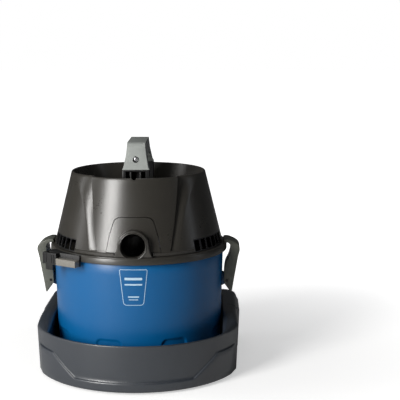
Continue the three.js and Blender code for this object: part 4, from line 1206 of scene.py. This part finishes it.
def tray_point(row, azimuth):
    """A point of the tray's section at an azimuth; row names the stretch and the share along it."""
    kind, share = row
    side = math.radians(azimuth)
    wide = tray_wide(azimuth)
    narrow = outline_radius(azimuth, OPEN_SIDE, OPEN_FRONT, OPEN_BACK, OPEN_CORNER)
    middle = (wide + narrow) / 2
    rim = tray_rim(middle * math.sin(side), -middle * math.cos(side))
    width = wide - narrow
    outer_round = min(11.0, width * 0.42) + 3.0 * smooth_step(14.0, 27.0, width)
    inner_round = min(3.0, width * 0.42)
    line = apron_line(azimuth)
    proud = 2.6 * (1 - smooth_step(62, 70, abs(azimuth)))
    if kind == "under":
        return polar(wide * (1 - TRAY_DRAFT) * share - 3 * share, azimuth, TRAY_GROUND)
    if kind == "foot":
        z = TRAY_GROUND + 3 * share
        return polar(tray_outer(azimuth, z) - 2.4 * (1 - share) ** 2 + proud, azimuth, z)
    if kind == "apron":
        z = mix(TRAY_GROUND + 3, line - 1.4, share)
        return polar(tray_outer(azimuth, z) + proud, azimuth, z)
    if kind == "step":
        z = line - 1.4 + 2.4 * share
        return polar(tray_outer(azimuth, z) + proud * (1 - smooth_step(0, 1, share)), azimuth, z)
    if kind == "wall":
        z = mix(line + 1.0, rim - outer_round, share)
        return polar(tray_outer(azimuth, z), azimuth, z)
    angle = math.radians(90 * share)
    if kind == "outer_round":
        z = rim - outer_round + outer_round * math.sin(angle)
        radius = tray_outer(azimuth, z) - outer_round + outer_round * math.cos(angle)
        return polar(radius, azimuth, z)
    if kind == "top":
        radius = mix(tray_outer(azimuth, rim) - outer_round, narrow + inner_round, share)
        return polar(radius, azimuth, rim + 1.2 * math.sin(math.pi * share) * min(width / 33, 1))
    if kind == "inner_round":
        radius = narrow + inner_round - inner_round * math.sin(angle)
        return polar(radius, azimuth, rim - inner_round * (1 - math.cos(angle)))
    round_z = TRAY_FLOOR_Z + FLOOR_ROUND
    if kind == "inside":
        z = mix(rim - inner_round, round_z, share)
        return polar(tray_inner(azimuth, narrow, z), azimuth, z)
    if kind == "floor_round":
        radius = tray_inner(azimuth, narrow, round_z) - FLOOR_ROUND * (1 - math.cos(angle))
        return polar(radius, azimuth, round_z - FLOOR_ROUND * math.sin(angle))
    return polar((narrow * 0.97 - 12) * (1 - share), azimuth, TRAY_FLOOR_Z)


def tray_inner(azimuth, narrow, z):
    """Radius of the tray's inner wall, with the two pads and the clip's boss on the back."""
    radius = drafted(narrow, z)
    if abs(azimuth) < 140:
        return radius
    x = radius * math.sin(math.radians(azimuth))
    behind = math.cos(math.radians(180 - abs(azimuth)))
    spread = 22.0 + 3.0 * (1 - z / 40.0)
    side, up = abs(abs(x) - 56.0) - (spread - 7.0), z - 33.0
    inside = 7.0 - (math.hypot(side, up) if side > 0 and up > 0 else max(side, up))
    pad = 4.5 * smooth_step(0.0, 3.0, inside)
    boss = 1.6 * (smooth_step(0.0, 3.0, 19.0 - abs(x)) * smooth_step(36.0, 40.0, z))
    return radius - (pad + boss) / behind


def tray_shell():
    def steps(kind, count, first=1):
        return [(kind, number / count) for number in range(first, count + 1)]

    rows = [
        *steps("under", 3, 0),
        *steps("foot", 3, 0),
        *steps("apron", 5),
        *steps("step", 4),
        *steps("wall", 12),
        *steps("outer_round", 7),
        *steps("top", 5),
        *steps("inner_round", 4),
        *steps("inside", 20),
        *steps("floor_round", 5),
        *steps("floor", 4),
    ]
    shell = lofted(rows, 720, tray_point)
    half, pivot = CLIP_HIGH.x, (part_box("tray_clip_pin")[0].z - FLOOR.z) / MM + 2
    ear = block((half + 0.6, TRAY_BACK - 5, pivot - 8), (half + 5, TRAY_BACK + 11, pivot + 7))
    rounded(ear, 1.2, 40, 3)
    shelf = rounded(block((-half - 5, TRAY_BACK - 5, 46), (half + 5, TRAY_BACK + 1.5, 50)), 0.8, 40, 2)
    return gathered(shell, other_side(ear), ear, shelf)


def tray_clip():
    """The sprung clip with its ribbed thumb pad and the hook over the tank's catch."""
    half, top, back = CLIP_HIGH.x, CLIP_HIGH.z, CLIP_HIGH.y
    pin_low, pin_high = local_box("tray_clip_pin", FLOOR)
    y, z = (pin_low.y + pin_high.y) / 2, (pin_low.z + pin_high.z) / 2
    front = CLIP_LOW.y
    profile = [
        (y - 3.4, z - 4), (y + 4.5, z - 8), (y + 5, z + 8), (y + 2.6, top - 14),
        (y + 3.2, top - 2.4), (y + 2.2, top - 0.6), (y, top), (front + 0.6, top - 0.8),
        (front, top - 4), (front + 2.8, top - 8.2), (y - 2.2, top - 9), (y - 3.2, top - 20),
    ]
    body = rounded(prism(profile, -half, half, "SIDE"), 0.9, 25, 3)
    ribs = []
    for rib_top in (top - 6.7, top - 12.7, top - 18.7):
        rib = block((3 - half, y + 1, rib_top - 2.6), (half - 3, min(y + 4.6, back), rib_top))
        ribs.append(rounded(rib, 0.6, 40, 2))
    bore = rod(2.35, (-40, y, z), (40, y, z))
    room = rod(4.0, (-10.5, y, z), (10.5, y, z))
    return cut(joined(body, *ribs), bore, room)


def clip_spring():
    """A close coil round the clip's pin."""
    low, high = local_box("tray_clip_spring", FLOOR)
    y, z = (low.y + high.y) / 2, (low.z + high.z) / 2
    coils, turns = [], 11
    for number in range(turns):
        x = mix(low.x + 0.9, high.x - 0.9, number / (turns - 1))
        ring = turned(arc(2.95, 0, 0.6, 0, 324, 9), 24)
        coils.append(moved(ring, Matrix.Translation((x, y, z)) @ Matrix.Rotation(math.pi / 2, 4, "Y")))
    return gathered(*coils)


def foot(node):
    low, high = local_box(node, FLOOR)
    radius = (high.x - low.x) / 2
    hollow = [(0, 0.6), (radius * 0.62, 0.6), (radius * 0.66, 0)]
    pad = turned_solid([*hollow, (radius - 1, 0), (radius, 0.9), (radius, high.z), (0, high.z)], 48)
    return moved(pad, Matrix.Translation(((low.x + high.x) / 2, (low.y + high.y) / 2, 0)))


# ---------- filter ----------

def filter_sleeve():
    """Pleated paper as one folded wall, round the bore of the filter's perforated core, which is not made
    here.
    """
    pleats = bpy.context.scene.vacuum_sizes.pleats
    outer = FILTER_HIGH.x - 0.4
    low, high = FILTER_LOW.z, FILTER_HIGH.z

    def place(row, azimuth):
        depth, z = row
        fold = abs(((azimuth / 360.0 * pleats) % 1.0) - 0.5) * 2
        wave = smooth_step(0.08, 0.92, fold)
        return polar(mix(FILTER_BORE + 0.2, mix(69.0, outer, wave), depth), azimuth, z)

    rows = [(0, low), (1, low + 0.2)]
    rows += [(1, mix(low, high, step / 10)) for step in range(1, 10)]
    rows += [(1, high - 0.2), (0, high), (0, low)]
    return lofted(rows, pleats * 8, place)


def filter_ends():
    """Moulded rings that hold the pleats at the top and bottom."""
    outer = FILTER_HIGH.x
    rings = []
    for low, high in ((FILTER_HIGH.z - 7, FILTER_HIGH.z), (FILTER_LOW.z + 0.1, FILTER_LOW.z + 7)):
        outside = [(outer - 0.4, low), (outer + 0.6, low + 1), (outer + 0.6, high - 1), (outer - 0.4, high)]
        rings.append(turned([(FILTER_BORE, low), *outside, (FILTER_BORE, high)], 160))
    return gathered(*rings)


def filter_cap():
    outer, low, high = CAP_HIGH.x, CAP_LOW.z, CAP_HIGH.z
    plate_top = FILTER_LOW.z - 0.3
    profile = [
        (5, low), (24, low), (28, low + 2.2), (outer - 16, low + 2.2), (outer - 12, low),
        (outer - 1.5, low), (outer, low + 1.5), (outer, plate_top - 0.6), (outer - 0.6, plate_top),
        (FILTER_BORE - 0.8, plate_top), (FILTER_BORE - 0.8, high), (57, high), (57, plate_top),
        (5, plate_top),
    ]
    return turned(profile, 128)


def filter_knob():
    low, high = local_box("filter_knob", DECK)
    profile = [(4.35, low.z), (10, low.z), (11, low.z + 1), (11, high.z), (4.35, high.z)]
    core = turned(profile, 48)
    wing = rounded(block((9.5, -2.5, low.z + 0.2), (20, 2.5, high.z - 1)), 1.1, 40, 3)
    return gathered(core, other_side(wing), wing)


# ---------- operators ----------

class VACUUM_OT_stage(bpy.types.Operator):
    """Set up the floor, the soft lights and the camera"""

    bl_idname = "vacuum.stage"
    bl_label = "Stage, lights and camera"

    def execute(self, context):
        stage = context.scene.vacuum_stage
        shape = bmesh.new()
        bmesh.ops.create_grid(shape, x_segments=8, y_segments=8, size=14.0)
        mesh = bpy.data.meshes.new("studio_floor")
        shape.to_mesh(mesh)
        shape.free()
        floor = bpy.data.objects.new("studio_floor", mesh)
        context.scene.collection.objects.link(floor)
        mesh.materials.append(floor_finish(stage.floor))
        for name, place, aim, size, power, tint in (
            ("key", (-2.0, -2.4, 1.3), (0, 0, 0.25), (1.1, 2.1), 138.0, (1.0, 0.99, 0.97)),
            ("side", (-2.7, -0.2, 1.1), (0, 0, 0.3), (0.5, 2.0), 10.0, (1.0, 1.0, 1.0)),
            ("top", (-0.3, -0.4, 2.8), (0, 0, 0.2), (1.6, 1.6), 8.0, (1.0, 1.0, 1.0)),
            ("right", (2.6, -0.3, 1.0), (0, 0, 0.3), (0.2, 1.8), 2.5, (0.85, 0.91, 1.0)),
        ):
            lamp = bpy.data.lights.new(name, "AREA")
            lamp.shape = "RECTANGLE"
            lamp.size, lamp.size_y = size
            lamp.energy = power
            lamp.color = tint
            light = bpy.data.objects.new(name, lamp)
            light.location = place
            light.rotation_euler = (Vector(aim) - Vector(place)).to_track_quat("-Z", "Y").to_euler()
            context.scene.collection.objects.link(light)
        self.sky(context)
        camera = bpy.data.objects.new("camera", bpy.data.cameras.new("camera"))
        camera.data.lens = stage.lens
        camera.data.sensor_width = 36.0
        camera.location = stage.eye
        camera.rotation_euler = (math.pi / 2 - stage.pitch, 0.0, stage.yaw)
        context.scene.collection.objects.link(camera)
        context.scene.camera = camera
        context.scene.view_settings.view_transform = "Standard"
        return {"FINISHED"}

    def sky(self, context):
        """White to the camera, dimmer as a light, so that dark plastic keeps its depth."""
        world = bpy.data.worlds.new("studio_air")
        world.use_nodes = True
        tree = world.node_tree
        ground = tree.nodes["Background"]
        seen = tree.nodes.new("ShaderNodeBackground")
        seen.inputs["Color"].default_value = (1.0, 1.0, 1.0, 1.0)
        ground.inputs["Color"].default_value = (0.95, 0.97, 1.0, 1.0)
        ground.inputs["Strength"].default_value = 0.05
        blend = tree.nodes.new("ShaderNodeMixShader")
        tree.links.new(tree.nodes.new("ShaderNodeLightPath").outputs["Is Camera Ray"], blend.inputs["Fac"])
        tree.links.new(ground.outputs["Background"], blend.inputs[1])
        tree.links.new(seen.outputs["Background"], blend.inputs[2])
        tree.links.new(blend.outputs["Shader"], tree.nodes["World Output"].inputs["Surface"])
        context.scene.world = world


class VACUUM_OT_tank(bpy.types.Operator):
    """Make the tank with its pressed panels, its lugs and its printed label"""

    bl_idname = "vacuum.tank"
    bl_label = "Tank"

    def execute(self, context):
        lug = latch_lug()
        shell = gathered(tank_shell(), other_side(lug), lug, tank_catch())
        add_piece("tank_moulding", shell, TANK, "tank_blue", "tank", "tank", 50.0)
        add_piece("tank_label", tank_label(), TANK, "label_print", "tank", None, 50.0, "white_plastic")
        return {"FINISHED"}


class VACUUM_OT_head(bpy.types.Operator):
    """Make the housing, the flange, the front cover, the hose port and the vents"""

    bl_idname = "vacuum.head"
    bl_label = "Head"

    def execute(self, context):
        right = vent_grille()
        left = other_side(right)
        add_pieces(DECK, "head", (
            ("housing_moulding", housing(), "head_charcoal", "motor_housing", 28.0),
            ("flange_moulding", flange_shape(), "head_charcoal", "motor_base", 40.0),
            ("front_cover_moulding", front_cover(), "head_charcoal", "front_cover", 28.0),
            ("hose_port_moulding", hose_port(), "head_charcoal", "hose_port", 40.0),
            ("vent_ribs_right", right, "black_plastic", "vent_grille_right", 40.0),
            ("vent_ribs_left", left, "black_plastic", "vent_grille_left", 40.0),
            # the bracket's black body is painted shade, the dark side of the same moulding as the pale plate
            ("wand_bracket_moulding", wand_bracket(), "black_plastic", "wand_bracket", 35.0),
        ))
        # the plate's pale finish is a painted highlight for its face turned to the light
        plate = bracket_plate()
        add_piece("wand_bracket_plate", plate, DECK, "bracket_painted_highlight", "head", None, 35.0, "head_charcoal")
        add_piece("cord_inlet_boot", cord_inlet(), DECK, "rubber", "head", "cord_inlet", 40.0)
        return {"FINISHED"}


class VACUUM_OT_handle(bpy.types.Operator):
    """Make the carrying handle, its bridge, its screws and the power switch"""

    bl_idname = "vacuum.handle"
    bl_label = "Handle and switch"

    def execute(self, context):
        front = handle_screw()
        rear = other_end(front)
        add_pieces(DECK, "head", (
            ("handle_moulding", carry_handle(), "handle_grey", "carry_handle", 35.0),
            ("bridge_moulding", handle_bridge(), "black_plastic", "handle_bridge", 35.0),
            ("handle_screw_a", front, "steel", "handle_screw_front", 35.0),
            ("handle_screw_b", rear, "steel", "handle_screw_rear", 35.0),
            ("switch_frame", switch_bezel(), "black_plastic", "switch_bezel", 35.0),
        ))
        add_piece("switch_paddle", switch_rocker(), DECK, "black_plastic", "rocker", "switch_rocker", 35.0)
        return {"FINISHED"}


class VACUUM_OT_latches(bpy.types.Operator):
    """Make the two side latches"""

    bl_idname = "vacuum.latches"
    bl_label = "Latches"

    def execute(self, context):
        right = latch_lever()
        for side, lever in (("right", right), ("left", other_side(right))):
            body, node = f"latch_{side}", f"latch_lever_{side}"
            add_piece(f"{body}_moulding", lever, DECK, "latch_grey", body, node, 35.0)
        return {"FINISHED"}


class VACUUM_OT_tray(bpy.types.Operator):
    """Make the base tray, its clip, the clip's spring and the rubber feet"""

    bl_idname = "vacuum.tray"
    bl_label = "Tray"

    def execute(self, context):
        add_piece("tray_moulding", tray_shell(), FLOOR, "tray_slate", "base", "tray_shell", 50.0)
        add_piece("clip_moulding", tray_clip(), FLOOR, "black_plastic", "clip", "tray_clip", 35.0)
        add_piece("clip_coil", clip_spring(), FLOOR, "steel", "base", "tray_clip_spring", 50.0)
        for place in ("front_left", "front_right", "rear_left", "rear_right"):
            node = f"tray_foot_{place}"
            add_piece(f"foot_pad_{place}", foot(node), FLOOR, "rubber", "base", node, 40.0)
        return {"FINISHED"}


class VACUUM_OT_filter(bpy.types.Operator):
    """Make the pleated filter with its rings, cap and knob"""

    bl_idname = "vacuum.filter"
    bl_label = "Filter"

    def execute(self, context):
        add_pieces(DECK, "head", (
            ("filter_pleats", filter_sleeve(), "filter_paper", "filter_cartridge", 50.0),
            ("filter_rings", filter_ends(), "black_plastic", None, 40.0),
            ("filter_cap_moulding", filter_cap(), "black_plastic", "filter_cap", 40.0),
            ("filter_knob_moulding", filter_knob(), "black_plastic", "filter_knob", 40.0),
        ))
        return {"FINISHED"}


CARRIED_OVER = {
    "rubber": ["tank_seal", "motor_gasket"],
    # the latch pins' dark steel is painted shade for the shadow in their bores
    "pin_painted_shade_steel": ["latch_pin_left", "latch_pin_right"],
    "steel": [
        "tray_clip_pin", "filter_stud", "rotor_shaft",
        "bearing_top", "bearing_bottom", "base_screw_1", "base_screw_2", "base_screw_3", "base_screw_4",
    ],
    "black_plastic": ["inlet_duct", "motor_shell", "brush_left", "brush_right"],
    "aluminium": ["fan_housing", "impeller"],
    "core_steel": ["stator", "armature"],
    "copper": ["commutator"],
    "white_plastic": ["float_cage", "float_ball"],
}


class VACUUM_OT_inside(bpy.types.Operator):
    """Give the motor, the fan, the float and the small hardware their finishes"""

    bl_idname = "vacuum.inside"
    bl_label = "Inner parts"

    def execute(self, context):
        for look, nodes in CARRIED_OVER.items():
            for node in nodes:
                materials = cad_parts[node].data.materials
                materials.clear()
                materials.append(finish(look))
        return {"FINISHED"}


OPERATORS = (
    VACUUM_OT_stage,
    VACUUM_OT_tank,
    VACUUM_OT_head,
    VACUUM_OT_handle,
    VACUUM_OT_latches,
    VACUUM_OT_tray,
    VACUUM_OT_filter,
    VACUUM_OT_inside,
)


class VACUUM_PT_panel(bpy.types.Panel):
    """Lists the builders and the settings of the shop vacuum"""

    bl_idname = "VACUUM_PT_panel"
    bl_label = "Shop Vacuum"
    bl_space_type = "VIEW_3D"
    bl_region_type = "UI"
    bl_category = "Vacuum"

    def draw(self, context):
        for operator in OPERATORS:
            self.layout.operator(operator.bl_idname)
        for group in (context.scene.vacuum_sizes, context.scene.vacuum_colours, context.scene.vacuum_stage):
            box = self.layout.box()
            for name in group.__annotations__:
                box.prop(group, name)


CLASSES = (VacuumSizes, VacuumColours, VacuumStage, *OPERATORS, VACUUM_PT_panel)


def register():
    for item in CLASSES:
        bpy.utils.register_class(item)
    bpy.types.Scene.vacuum_sizes = bpy.props.PointerProperty(type=VacuumSizes)
    bpy.types.Scene.vacuum_colours = bpy.props.PointerProperty(type=VacuumColours)
    bpy.types.Scene.vacuum_stage = bpy.props.PointerProperty(type=VacuumStage)


def unregister():
    del bpy.types.Scene.vacuum_stage
    del bpy.types.Scene.vacuum_colours
    del bpy.types.Scene.vacuum_sizes
    for item in reversed(CLASSES):
        bpy.utils.unregister_class(item)


def main():
    register()
    bpy.ops.vacuum.stage()
    bpy.ops.vacuum.tank()
    bpy.ops.vacuum.head()
    bpy.ops.vacuum.handle()
    bpy.ops.vacuum.latches()
    bpy.ops.vacuum.tray()
    bpy.ops.vacuum.filter()
    bpy.ops.vacuum.inside()


if __name__ == "__main__":
    main()
